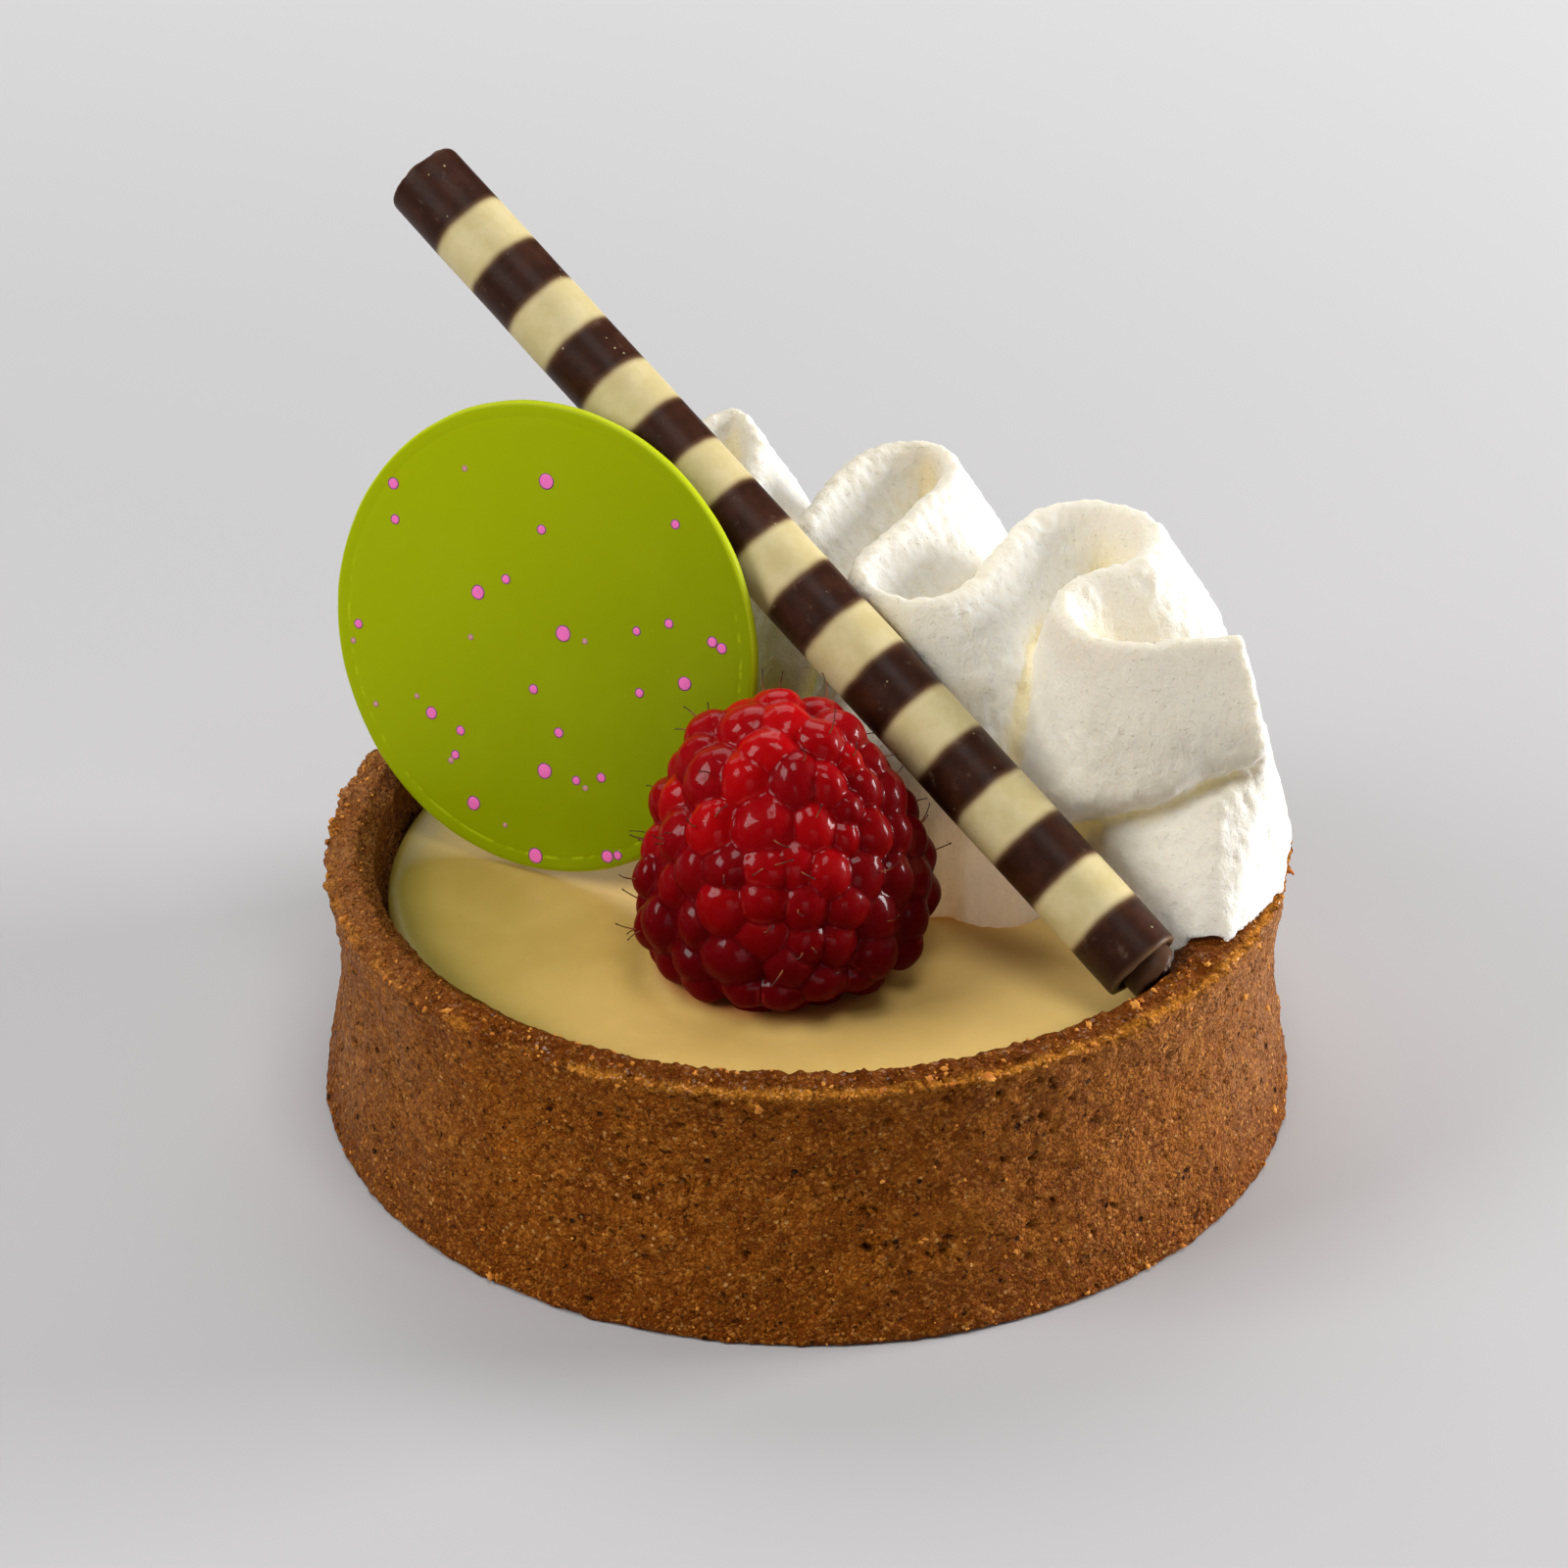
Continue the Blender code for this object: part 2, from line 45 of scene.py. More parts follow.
view = {
    "lens": 112.5, "sensor": 36.0, "target": (-1.8, 0.0, 25.53), "distance": 376.0, "elevation": 29.59,
    "frame": 1600, "pixelsPerMm": 13.3,
}
tilt = math.radians(view["elevation"])
viewAhead = Vector((0, math.cos(tilt), -math.sin(tilt)))
viewUp = Vector((0, math.sin(tilt), math.cos(tilt)))
viewFrom = Vector(view["target"]) - viewAhead * view["distance"]
focal = view["frame"] * view["lens"] / view["sensor"]  # in pixels


def sightLine(across, down):  # the ray through a pixel of the frame
    half = view["frame"] / 2
    return (viewAhead + Vector((1, 0, 0)) * (across - half) / focal + viewUp * (half - down) / focal).normalized()


class Wire:
    # a socket of the material being made; Python's operators on it add Math nodes
    def __init__(self, material, socket=None):
        self.material, self.socket = material, socket

    def node(self, kind, settings, sockets, out=0):
        tree = self.material.node_tree
        made = tree.nodes.new("ShaderNode" + kind)
        for name, value in settings.items():
            setattr(made, name, value)
        for name, value in sockets.items():
            if isinstance(value, Wire):
                tree.links.new(value.socket, made.inputs[name])
            else:
                made.inputs[name].default_value = value
        return Wire(self.material, made.outputs[out])

    def maths(self, operation, *values):
        return self.node("Math", {"operation": operation}, dict(enumerate(values)))

    def __add__(self, other):
        return self.maths("ADD", self, other)

    def __radd__(self, other):
        return self.maths("ADD", other, self)

    def __sub__(self, other):
        return self.maths("SUBTRACT", self, other)

    def __rsub__(self, other):
        return self.maths("SUBTRACT", other, self)

    def __mul__(self, other):
        return self.maths("MULTIPLY", self, other)

    def __rmul__(self, other):
        return self.maths("MULTIPLY", other, self)

    def between(self, low, high):  # 0 at low, 1 at high, eased
        return self.node("MapRange", {"interpolation_type": "SMOOTHSTEP"},
                         {"Value": self, "From Min": low, "From Max": high})

    def place(self):  # the piece's own coordinates, in mm
        spot = self.node("TexCoord", {}, {}, "Object")
        return self.node("VectorMath", {"operation": "SCALE"}, {0: spot, "Scale": 1 / mm})

    def part(self, axis):
        return self.node("SeparateXYZ", {}, {0: self}, axis)

    def stretched(self, factors):
        return self.node("VectorMath", {"operation": "MULTIPLY"}, {0: self, 1: factors})

    def fromAxis(self):  # how far a place is from the Z axis
        return self.node("VectorMath", {"operation": "LENGTH"}, {0: self.stretched((1, 1, 0))}, "Value")

    def facing(self, axis):  # how far the surface faces along an axis
        return self.node("NewGeometry", {}, {}, "Normal").part(axis)

    def attribute(self, name):
        return self.node("Attribute", {"attribute_name": name}, {}, "Fac")

    def noise(self, width, detail=2.0, rough=0.5):  # width: mm from lump to lump
        return self.node("TexNoise", {}, {"Vector": self, "Scale": 1.0 / width, "Detail": detail,
                                          "Roughness": rough})

    def cells(self, width, out="Distance"):
        return self.node("TexVoronoi", {}, {"Vector": self, "Scale": 1.0 / width}, out)

    def specks(self, width, sizes, patchWidth, patches):  # round spots that come in patches
        return self.cells(width).between(*sizes) * self.noise(patchWidth).between(*patches)

    def colours(self, mask, first, second):
        sockets = {0: mask}
        for name, colour in ((6, first), (7, second)):
            sockets[name] = colour if isinstance(colour, Wire) else (*colour, 1.0)
        return self.node("Mix", {"data_type": "RGBA", "clamp_factor": True}, sockets, 2)

    def painted(self, look, base, *layers):  # colours of a look, each laid over the last by its mask
        colour = look[base] if isinstance(base, str) else base
        for mask, name in layers:
            colour = self.colours(mask, colour, look[name])
        return colour

    def relief(self, depth, strength=1.0):  # depth: metres for a height of 1
        return self.node("Bump", {}, {"Height": self, "Distance": depth, "Strength": strength})

    def finished(self, **wires):
        sockets = {"colour": "Base Color", "roughness": "Roughness", "normal": "Normal", "coat": "Coat Weight",
                   "glow": "Emission Color"}
        tree = self.material.node_tree
        for name, wire in wires.items():
            tree.links.new(wire.socket, tree.nodes["Principled BSDF"].inputs[sockets[name]])
        return self.material


def newMaterial(name, constants):
    material = bpy.data.materials.new(name)
    material.use_nodes = True
    for socket, value in constants.items():
        material.node_tree.nodes["Principled BSDF"].inputs[socket].default_value = value
    return Wire(material)


def linked(name, data):
    thing = bpy.data.objects.new(name, data)
    bpy.context.scene.collection.objects.link(thing)
    return thing


def newPiece(name, points, faces):
    mesh = bpy.data.meshes.new(name)
    mesh.from_pydata([tuple(p) for p in np.asarray(points, float)], [], [tuple(f) for f in faces])
    mesh.update()
    return linked(name, mesh)


def fromShape(name, shape):
    mesh = bpy.data.meshes.new(name)
    shape.to_mesh(mesh)
    shape.free()
    return linked(name, mesh)


def gridFaces(rows, columns):  # a tube of quads: row after row, each row closed on itself
    row, column = np.meshgrid(np.arange(rows - 1), np.arange(columns), indexing="ij")
    after = (column + 1) % columns
    low, high = row * columns, (row + 1) * columns
    return np.stack([low + column, low + after, high + after, high + column], -1).reshape(-1, 4)


def turned(profile, steps):  # (radius, height) points turned round Z: rows of steps points
    angle = np.arange(steps) * 2 * np.pi / steps
    profile = np.array(profile)
    flat = np.stack([np.cos(angle), np.sin(angle)], -1)
    points = np.zeros((len(profile), steps, 3))
    points[:, :, :2] = profile[:, None, :1] * flat
    points[:, :, 2] = profile[:, 1:]
    return points.reshape(-1, 3)


def closedTurn(name, points, steps, ends):  # points in mm; a fan closes each end, at its height
    rows = len(points) // steps
    faces = [list(face) for face in gridFaces(rows, steps)]
    for i in range(steps):
        j = (i + 1) % steps
        faces.append([len(points), j, i])
        faces.append([len(points) + 1, (rows - 1) * steps + i, (rows - 1) * steps + j])
    return newPiece(name, np.vstack([points, [(0, 0, end) for end in ends]]) * mm, faces)


def arc(centre, radius, start, end, count):
    angles = np.radians(np.linspace(start, end, count + 1))
    return [(centre[0] + radius * math.cos(a), centre[1] + radius * math.sin(a)) for a in angles]


def pointsOf(piece):
    flat = np.empty(len(piece.data.vertices) * 3)
    piece.data.vertices.foreach_get("co", flat)
    return flat.reshape(-1, 3)


def setPoints(piece, points):
    piece.data.vertices.foreach_set("co", np.asarray(points, float).ravel())
    piece.data.update()


def normalsOf(piece):
    flat = np.empty(len(piece.data.vertices) * 3)
    piece.data.vertex_normals.foreach_get("vector", flat)
    return flat.reshape(-1, 3)


def setAttribute(piece, name, values):
    made = piece.data.attributes.new(name, "FLOAT", "POINT")
    made.data.foreach_set("value", np.asarray(values, np.float32))


def eased(value, low, high):
    share = np.clip((value - low) / (high - low), 0.0, 1.0)
    return share * share * (3 - 2 * share)


def lumps(points, width, octaves=1, seed=0.0):  # noise from -1 to 1 at each point, in mm
    found = np.zeros(len(points))
    for octave in range(octaves):
        scaled = points * (2.0 ** octave / width) + seed + 17.3 * octave
        found += np.array([noise.noise(p) for p in scaled]) * 0.5 ** octave
    return found


def remeshed(piece, voxel, smooth):
    remesh = piece.modifiers.new("one body", "REMESH")
    remesh.mode = "VOXEL"
    remesh.voxel_size = voxel
    if smooth:
        soften = piece.modifiers.new("soften", "SMOOTH")
        soften.factor = 0.5
        soften.iterations = smooth
    graph = bpy.context.evaluated_depsgraph_get()
    solid = bpy.data.meshes.new_from_object(piece.evaluated_get(graph))
    piece.modifiers.clear()
    piece.data = solid
    return piece


def hollows(piece, steps):  # how deep each point lies in the creases between its neighbours, in mm
    points = pointsOf(piece) / mm
    ends = np.empty(len(piece.data.edges) * 2, np.int32)
    piece.data.edges.foreach_get("vertices", ends)
    first, second = ends[0::2], ends[1::2]
    count = np.bincount(ends, minlength=len(points))
    soft = points.copy()
    for _ in range(steps):
        for k in range(3):
            near = np.bincount(first, soft[second, k], len(points))
            soft[:, k] = (near + np.bincount(second, soft[first, k], len(points))) / count
    return ((soft - points) * normalsOf(piece)).sum(axis=1)


def dress(piece, material, slot, *nodes):  # the piece rides the tart and stands for its CAD nodes
    piece.data.materials.clear()
    piece.data.materials.append(material)
    piece.data.shade_smooth()
    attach(piece, "root")
    if nodes:
        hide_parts(*nodes)
    print("made", piece.name, len(piece.data.polygons), "faces")
    return piece


def turnTo(direction, side):  # a rotation whose Z is direction and whose X is side squared up to it
    up = Vector(direction).normalized()
    across = (Vector(side) - up * up.dot(Vector(side))).normalized()
    return Matrix((across, up.cross(across), up)).transposed().to_4x4()


shell = {
    "height": 21.2, "baseRadius": 38.0, "waistRadius": 36.2, "waistHeight": 13.0,
    "rimRadius": 37.15, "rimThickness": 2.8, "rimRise": 0.6, "floor": 3.0,
    "tilt": 0.6, "steps": 900, "wallRows": 76,
    "waves": 0.30, "craggy": 0.23, "grains": 0.20, "pits": 0.62, "rimRough": 0.30, "footRough": 0.26,
    "swollenAt": -29.0, "swollen": 1.7,  # where the rim is thicker, in degrees and mm
    "crumbs": 1100, "seed": 11,
}


def wallRadius(height):
    if height < shell["waistHeight"]:
        share = 1 - height / shell["waistHeight"]
        return shell["waistRadius"] + (shell["baseRadius"] - shell["waistRadius"]) * share ** 1.5
    share = (height - shell["waistHeight"]) / (shell["height"] - shell["waistHeight"])
    return shell["waistRadius"] + (shell["rimRadius"] - shell["waistRadius"]) * share ** 2


def shellProfile():
    innerEdge = shell["rimRadius"] - shell["rimThickness"]
    innerHeight = shell["height"] + shell["rimRise"]
    profile = [(8.0, shell["floor"]), (31.0, shell["floor"]), (32.6, 5.0)]
    profile += [(32.8 + 0.5 * (z - 5.0) / 12.5, z) for z in (9.0, 14.0, 16.5, 17.3, 18.0, 18.7, 19.4, 20.1, 20.7)]
    profile += arc((innerEdge + 0.6, innerHeight - 0.6), 0.6, 170, 80, 3)
    for share in np.linspace(0.12, 0.9, 8):
        profile.append((innerEdge + 0.7 + (shell["rimThickness"] - 1.0) * share,
                        innerHeight - shell["rimRise"] * share))
    profile += arc((shell["rimRadius"] - 0.3, shell["height"] - 0.3), 0.3, 72, 8, 3)
    for z in np.linspace(shell["height"] - 0.55, 0.5, shell["wallRows"]):
        profile.append((wallRadius(z), z))
    profile += [(37.85, 0.22), (37.6, 0.06), (37.2, 0.0), (36.0, 0.0), (20.0, 0.0), (6.0, 0.0)]
    return profile


def scattered(points, spacing, share, size, seed):
    # round lumps or holes, one in a share of the cells of an irregular pattern, uneven in outline
    height = np.zeros(len(points))
    for i, point in enumerate(points / spacing + seed):
        spot = Vector(point)
        distances, centres = noise.voronoi(spot + noise.noise_vector(spot * 2.2) * 0.16)
        chance = noise.cell(centres[0] * 7.31 + Vector((3.3, 1.7, 9.1)))
        if chance < share:
            reach = size * (0.45 + 0.55 * chance / share)
            height[i] = max(0.0, 1.0 - (distances[0] / reach) ** 2)
    return height


def makeShell():
    points = turned(shellProfile(), shell["steps"])
    piece = closedTurn("pastryCrust", points, shell["steps"], (shell["floor"], 0.0))
    outwards = -normalsOf(piece)[:len(points)]
    piece.data.flip_normals()
    radius = np.hypot(points[:, 0], points[:, 1])
    height = points[:, 2]
    onWall = eased(radius, 35.6, 36.1) * eased(height, 0.05, 0.8)
    rim = eased(height, 20.3, 21.1) * eased(radius, 33.4, 34.2)
    inner = eased(height, 16.5, 18.5) * (1 - eased(radius, 34.0, 35.0))
    ridge = np.exp(-((radius - 36.80) / 0.40) ** 2 - ((height - 21.05) / 0.45) ** 2)
    foot = (1 - eased(height, 0.4, 2.2)) * eased(radius, 36.5, 37.3)
    rough = np.clip(rim + inner, 0, 1)
    baked = np.clip(onWall + rough, 0, 1)
    squat = points * (1, 1, 1.25)

    moved = lumps(points, 7.0) * shell["waves"] * onWall
    moved += lumps(points, 2.1, 3, 4.0) * shell["craggy"] * baked * (1 - 0.5 * inner)
    grains = scattered(points, 1.0, 0.62, 0.62, 3.0) * 0.6 + scattered(points, 0.6, 0.5, 0.7, 6.0) * 0.4
    moved += (grains - 0.3) * shell["grains"] * (baked - 0.6 * inner)
    moved += lumps(points, 1.15, 2, 2.0) * shell["rimRough"] * np.clip(rough + ridge, 0, 1) * (1 - 0.7 * inner)
    moved += lumps(points, 0.45, 1, 9.0) * 0.11 * np.clip(rim + ridge, 0, 1)
    moved += scattered(points, 0.62, 0.6, 0.7, 21.0) * (0.17 * rim + 0.26 * ridge)
    moved += np.abs(lumps(points, 1.7, 2, 12.0)) * shell["footRough"] * foot
    small = scattered(squat, 1.25, 0.40, 0.40, 3.0)
    large = scattered(squat, 2.7, 0.42, 0.22, 8.0)
    keep = np.clip(lumps(points, 6.0, 1, 15.0) * 1.6 + 0.85, 0, 1)
    pits = np.clip(small * 0.75 * keep + large, 0, 1) * onWall * (1 - ridge)
    moved -= pits * shell["pits"]
    moved -= np.clip(lumps(points, 1.3, 2, 31.0) - 0.12, 0, 1) * ridge * 0.4
    placed = points + outwards * moved[:, None]
    lift = shell["tilt"] * points[:, 0] / shell["rimRadius"]
    share = eased(height, shell["waistHeight"], shell["height"]) * eased(radius, 33.0, 33.8)
    placed[:, 2] += (lift + lumps(points * (1, 1, 0), 12.0) * 0.2) * share
    around = np.degrees(np.arctan2(points[:, 1], points[:, 0]))
    swollen = shell["swollen"] * np.exp(-((around - shell["swollenAt"]) / 6.5) ** 2)
    swollen = swollen * eased(height, 17.8, 20.6) * (1 - eased(radius, 34.5, 36.2))
    placed[:, :2] *= (1 - swollen / np.maximum(radius, 1))[:, None]
    placed[:, 2] = np.maximum(placed[:, 2], 0.0)
    setPoints(piece, np.vstack([placed, [(0, 0, shell["floor"]), (0, 0, 0)]]) * mm)
    whole = eased(around, -125.0, -95.0) * (1 - eased(around, 20.0, 60.0))  # the ridge is unbroken on this side
    flakes = ridge * np.maximum(eased(lumps(points, 3.4, 2, 5.0), 0.05, 0.4), whole)
    flakes *= eased(lumps(points, 0.6, 2, 40.0), -0.65, -0.15)
    # pit is painted near-black in the material, as painted shade; broken marks the rim and its inner wall
    shown = {"pit": np.clip(pits * 1.5 - 0.25, 0, 1), "grains": grains, "ridge": flakes, "broken": rough}
    for name, values in shown.items():
        setAttribute(piece, name, np.append(values, (0, 0)))
    return piece


def makeCrumbs(crust):
    # golden grains of baked dough that stand out of the wall, the ridge and the foot
    chance = random.Random(shell["seed"])
    spots, outwards = pointsOf(crust) / mm, normalsOf(crust)
    radius, height = np.hypot(spots[:, 0], spots[:, 1]), spots[:, 2]
    onRidge = np.nonzero((height > 20.3) & (radius > 36.2))[0]
    onRim = np.nonzero((height > 19.5) & (radius > 33.6) & (radius < 36.6))[0]
    onWall = np.nonzero((height > 1.0) & (height < 20.5) & (radius > 35.5))[0]
    onFoot = np.nonzero((height > 0.2) & (height < 1.4) & (radius > 37.0))[0]
    shape = bmesh.new()
    for i in range(shell["crumbs"]):
        where = chance.choices((onRidge, onRim, onWall, onFoot), (34, 30, 26, 10))[0]
        index = int(where[chance.randrange(len(where))])
        size = chance.uniform(0.06, 0.15) if chance.random() < 0.94 else chance.uniform(0.18, 0.30)
        centre = spots[index] - outwards[index] * size * 0.15
        turn = Matrix.Rotation(chance.uniform(0, 6), 3, Vector((chance.random(), chance.random(), 1)))
        stretch = [size * chance.uniform(0.6, 1.6) for _ in range(3)]
        made = bmesh.ops.create_icosphere(shape, subdivisions=1 if size < 0.12 else 2, radius=1.0)
        for vertex in made["verts"]:
            lump = 1 + 1.1 * noise.noise(vertex.co * 2.3 + Vector((i, 0, 0)))
            local = turn @ Vector([vertex.co[k] * stretch[k] * lump for k in range(3)])
            spot = Vector(centre) + local
            vertex.co = Vector((spot.x, spot.y, max(spot.z, 0.02))) * mm
    return fromShape("crustCrumbs", shape)


crustLook = {
    # the paler tones at the sides are partly painted light; the darkest brown is the rim's cut crust and painted
    # shade on its inner wall; the near-black is painted shade in pores and pits; the pale grit is partly painted
    # glints
    "deep": (0.185, 0.040, 0.0020), "brown": (0.470, 0.135, 0.0105), "golden": (0.80, 0.31, 0.038),
    "orange": (0.53, 0.152, 0.007), "poreShade": (0.015, 0.004, 0.001), "ridge": (0.98, 0.38, 0.038),
    "crumb": (0.72, 0.29, 0.045), "paleGritAndGlint": (0.86, 0.46, 0.15), "pale": (0.78, 0.39, 0.160),
    "dusty": (0.58, 0.33, 0.180), "darkCrustAndShade": (0.078, 0.012, 0.0003),
    "roughness": 0.55, "grain": 0.60, "fineGrain": 0.27, "dust": 0.15,
}


def crustMaterial():
    start = newMaterial("bakedPastry", {"Specular IOR Level": 0.05, "Coat Roughness": 0.12})
    place = start.place()
    x = place.part("X")
    patches = place.noise(2.6, 4.0, 0.65).between(0.38, 0.64)
    blotches = place.noise(9.0, 3.0).between(0.40, 0.62)
    mottled = place.noise(1.5, 4.0, 0.7)
    grain, fineGrain, dust = crustLook["grain"], crustLook["fineGrain"], crustLook["dust"]
    # each grain of dough has its own tone
    tones, fineTones, finest = (place.cells(width, "Color").part("X") for width in (grain, fineGrain, dust))
    seams, fineSeams = place.cells(grain).between(0.38, 0.62), place.cells(fineGrain).between(0.35, 0.6)
    broken, grains = start.attribute("broken"), start.attribute("grains")
    toLeft = x.between(-16.0, -33.0)
    golden = start.attribute("ridge") * (0.30 + fineTones * 0.70) * (1 - toLeft * 0.45)
    pores = place.noise(0.7, 3.0, 0.65).between(0.62, 0.69)
    pinholes = place.specks(1.9, (0.15, 0.08), 4.5, (0.46, 0.56))
    base = start.painted(
        crustLook, "deep", (patches * 0.9, "brown"), (blotches * 0.35, "orange"),
        (x.between(6.0, 37.0) * (0.25 + blotches * 0.25) * (1 - broken), "pale"),  # paler at the right: partly baked colour, partly painted light
        # paler and greyer again at the far right: partly baked colour, partly painted light
        (x.between(27.0, 37.0) * (1 - broken) * 0.40, "dusty"),
        # paler at the left: painted light
        (x.between(-22.0, -37.0) * (0.36 + blotches * 0.3), "pale"),
        (mottled.between(0.52, 0.70) * 0.30, "golden"), (mottled.between(0.48, 0.32) * 0.60, "deep"),
        (place.noise(4.4, 3.0, 0.6).between(0.50, 0.64) * 0.28, "deep"),
        (tones.between(0.60, 1.0) * 0.25, "golden"), (tones.between(0.32, 0.0) * 0.40, "deep"),
        (seams * 0.25, "deep"), (place.part("Z").between(9.0, 0.5) * 0.75, "deep"),
        # darkest on the rim and its inner wall: the rim's dark cut crust, and painted shade on the wall
        (broken * (0.40 + patches * 0.50) * (1 - toLeft * 0.55), "darkCrustAndShade"),
        (fineTones.between(0.66, 0.95) * (0.50 - broken * 0.3), "golden"),
        (fineTones.between(0.28, 0.0) * 0.55, "deep"),
        (finest.between(0.82, 0.95) * (0.35 - broken * 0.1), "golden"),
        (finest.between(0.25, 0.05) * 0.35, "deep"), (fineSeams * 0.12, "deep"),
        (grains.between(0.4, 0.9) * (0.30 - broken * 0.2), "golden"), (grains.between(0.2, 0.0) * 0.30, "deep"),
        # near-black in the pores: painted shade
        (golden * 0.95, "ridge"), (pores * (0.75 - broken * 0.45), "poreShade"),
        # pale grains of dough, partly painted glints
        (place.specks(0.95, (0.20, 0.12), 3.0, (0.42, 0.58)) * (0.6 - broken * 0.3), "paleGritAndGlint"),
        # near-black in the pinholes and pits: painted shade
        (pinholes * (1 - golden) * (1 - broken * 0.9) * 0.9, "poreShade"), (start.attribute("pit"), "poreShade"))
    sugar = (fineTones + broken * 0.12).between(0.90, 0.94)  # grains that glint
    height = tones * 0.4 - seams * 0.35 + fineTones * 0.3 - fineSeams * 0.25 + finest * 0.2
    height = height - pores - pinholes * 1.5 + mottled * 2.0
    return start.finished(colour=base, roughness=crustLook["roughness"] + patches * 0.15 - fineTones * 0.2,
                          coat=sugar * (0.18 + broken * 0.18) * (1 - toLeft * 0.8), normal=height.relief(0.00040))


def crumbMaterial():
    start = newMaterial("goldenCrumb", {"Specular IOR Level": 0.2})
    place = start.place()
    tone = place.noise(1.1, 1.0).between(0.38, 0.62)
    base = start.painted(crustLook, "brown", (tone, "crumb"))
    return start.finished(colour=base, roughness=0.5 + tone * 0.2, normal=place.noise(0.15).relief(0.00004, 0.8))


crust = makeShell()
crumbs = makeCrumbs(crust)
dress(crust, crustMaterial(), "baked_pastry", "pastry_shell")
dress(crumbs, crumbMaterial(), "baked_pastry")


custard = {
    "top": 17.5, "floor": 3.3, "radius": 32.5, "edgeRound": 0.9, "steps": 320,
    "waves": 0.07, "dips": ((4.7, -18.6, 1.1, 0.10), (9.4, -19.5, 0.8, 0.09), (13.6, -17.2, 0.9, 0.08),
                            (16.4, -20.8, 0.6, 0.08), (-12.6, -17.3, 0.5, 0.05)),
    # pale is the custard's lighter tone and also painted light at the right; green is painted shade at the left
    # and by the wall; the red tone round the berry's foot is a painted glow
    "colour": (0.635, 0.400, 0.108), "pale": (0.965, 0.675, 0.230), "green": (0.225, 0.180, 0.022),
    "film": (0.34, 0.29, 0.155), "speck": (0.16, 0.07, 0.02),
    "berryGlow": (0.46, 0.075, 0.026), "berryFoot": (-2.4, -13.0, 17.5), "swell": 0.75,
}


def makeCustard():
    profile = [(r, custard["top"]) for r in np.arange(0.8, custard["radius"] - 1.2, 0.55)]
    corner = custard["radius"] - custard["edgeRound"]
    profile += arc((corner, custard["top"] - custard["edgeRound"]), custard["edgeRound"], 86, 0, 8)
    profile += [(custard["radius"], z) for z in (14.0, 10.0, 6.0)]
    profile += [(custard["radius"] - 2.2, custard["floor"]), (2.0, custard["floor"])]
    points = turned(profile, custard["steps"])
    top = eased(points[:, 2], 16.0, 17.2)
    moved = points.copy()
    moved[:, 2] += lumps(points, 11.0, 2, 6.0) * custard["waves"] * top
    for x, y, size, depth in custard["dips"]:
        away = np.hypot(points[:, 0] - x, (points[:, 1] - y) * 1.6)
        moved[:, 2] -= depth * np.exp(-(away / size) ** 2) * top
    fromBerry = np.hypot(points[:, 0] - custard["berryFoot"][0], points[:, 1] - custard["berryFoot"][1])
    moved[:, 2] += custard["swell"] * (1 - eased(fromBerry, 8.3, 10.6)) * top  # pushed up round the berry
    piece = closedTurn("limeCustard", moved, custard["steps"], (custard["top"], custard["floor"]))
    piece.data.flip_normals()
    return piece


def custardMaterial():
    start = newMaterial("limeCustard", {
        "Subsurface Weight": 0.25, "Subsurface Radius": (1.0, 0.65, 0.25), "Subsurface Scale": 0.0022,
        "Specular IOR Level": 0.3})
    place = start.place()
    x, y = place.part("X"), place.part("Y")
    wander = (place.noise(5.0, 3.0, 0.6) - 0.5) * 1.3
    torn = place.noise(0.9, 4.0, 0.65).between(0.30, 0.62)
    near = place.fromAxis() + wander
    # a thin skin that has drawn in from the wall at the left
    atLeft = x.between(-25.5, -29.0) * y.between(-11.5, -8.0) * (1 - y.between(8.0, 10.0))
    line = near + y.between(-3.0, 8.0) * 2.0 - 31.95
    film = line.between(-0.45, -0.1) * (1 - line.between(0.15, 0.5)) * torn * atLeft
    mottled = place.noise(3.0, 3.0, 0.6)
    toBerry = start.node("VectorMath", {"operation": "DISTANCE"}, {0: place, 1: custard["berryFoot"]}, "Value")
    base = start.painted(
        custard, "colour", (place.noise(12.0).between(0.35, 0.65) * 0.28, "pale"),
        (mottled.between(0.45, 0.75) * 0.15, "pale"),
        # paler at the right, where the pencil and cream shade the custard: painted light
        (y.between(-20.0, -30.0) * x.between(-22.0, -8.0) * 0.35, "pale"), (x.between(2.0, 20.0) * 0.95, "pale"),
        # darker olive to the left and close to the wall: painted shade of the wall
        (x.between(-10.0, -30.0) * 0.55, "green"), (near.between(27.5, 32.4) * 0.65, "green"),
        (film * 0.42, "film"), (place.specks(4.4, (0.035, 0.02), 9.0, (0.5, 0.6)) * 0.7, "speck"),
        # pinkish red round the berry's foot: painted glow from the berry
        ((toBerry + wander * 0.3).between(9.7, 8.3) * 0.65, "berryGlow"))
    fine = place.noise(0.5) * 0.3 + place.noise(2.6)
    return start.finished(colour=base, roughness=0.27 + mottled * 0.14 + film * 0.2,
                          normal=fine.relief(0.00005, 0.5))


dress(makeCustard(), custardMaterial(), "lime_custard", "lime_filling")


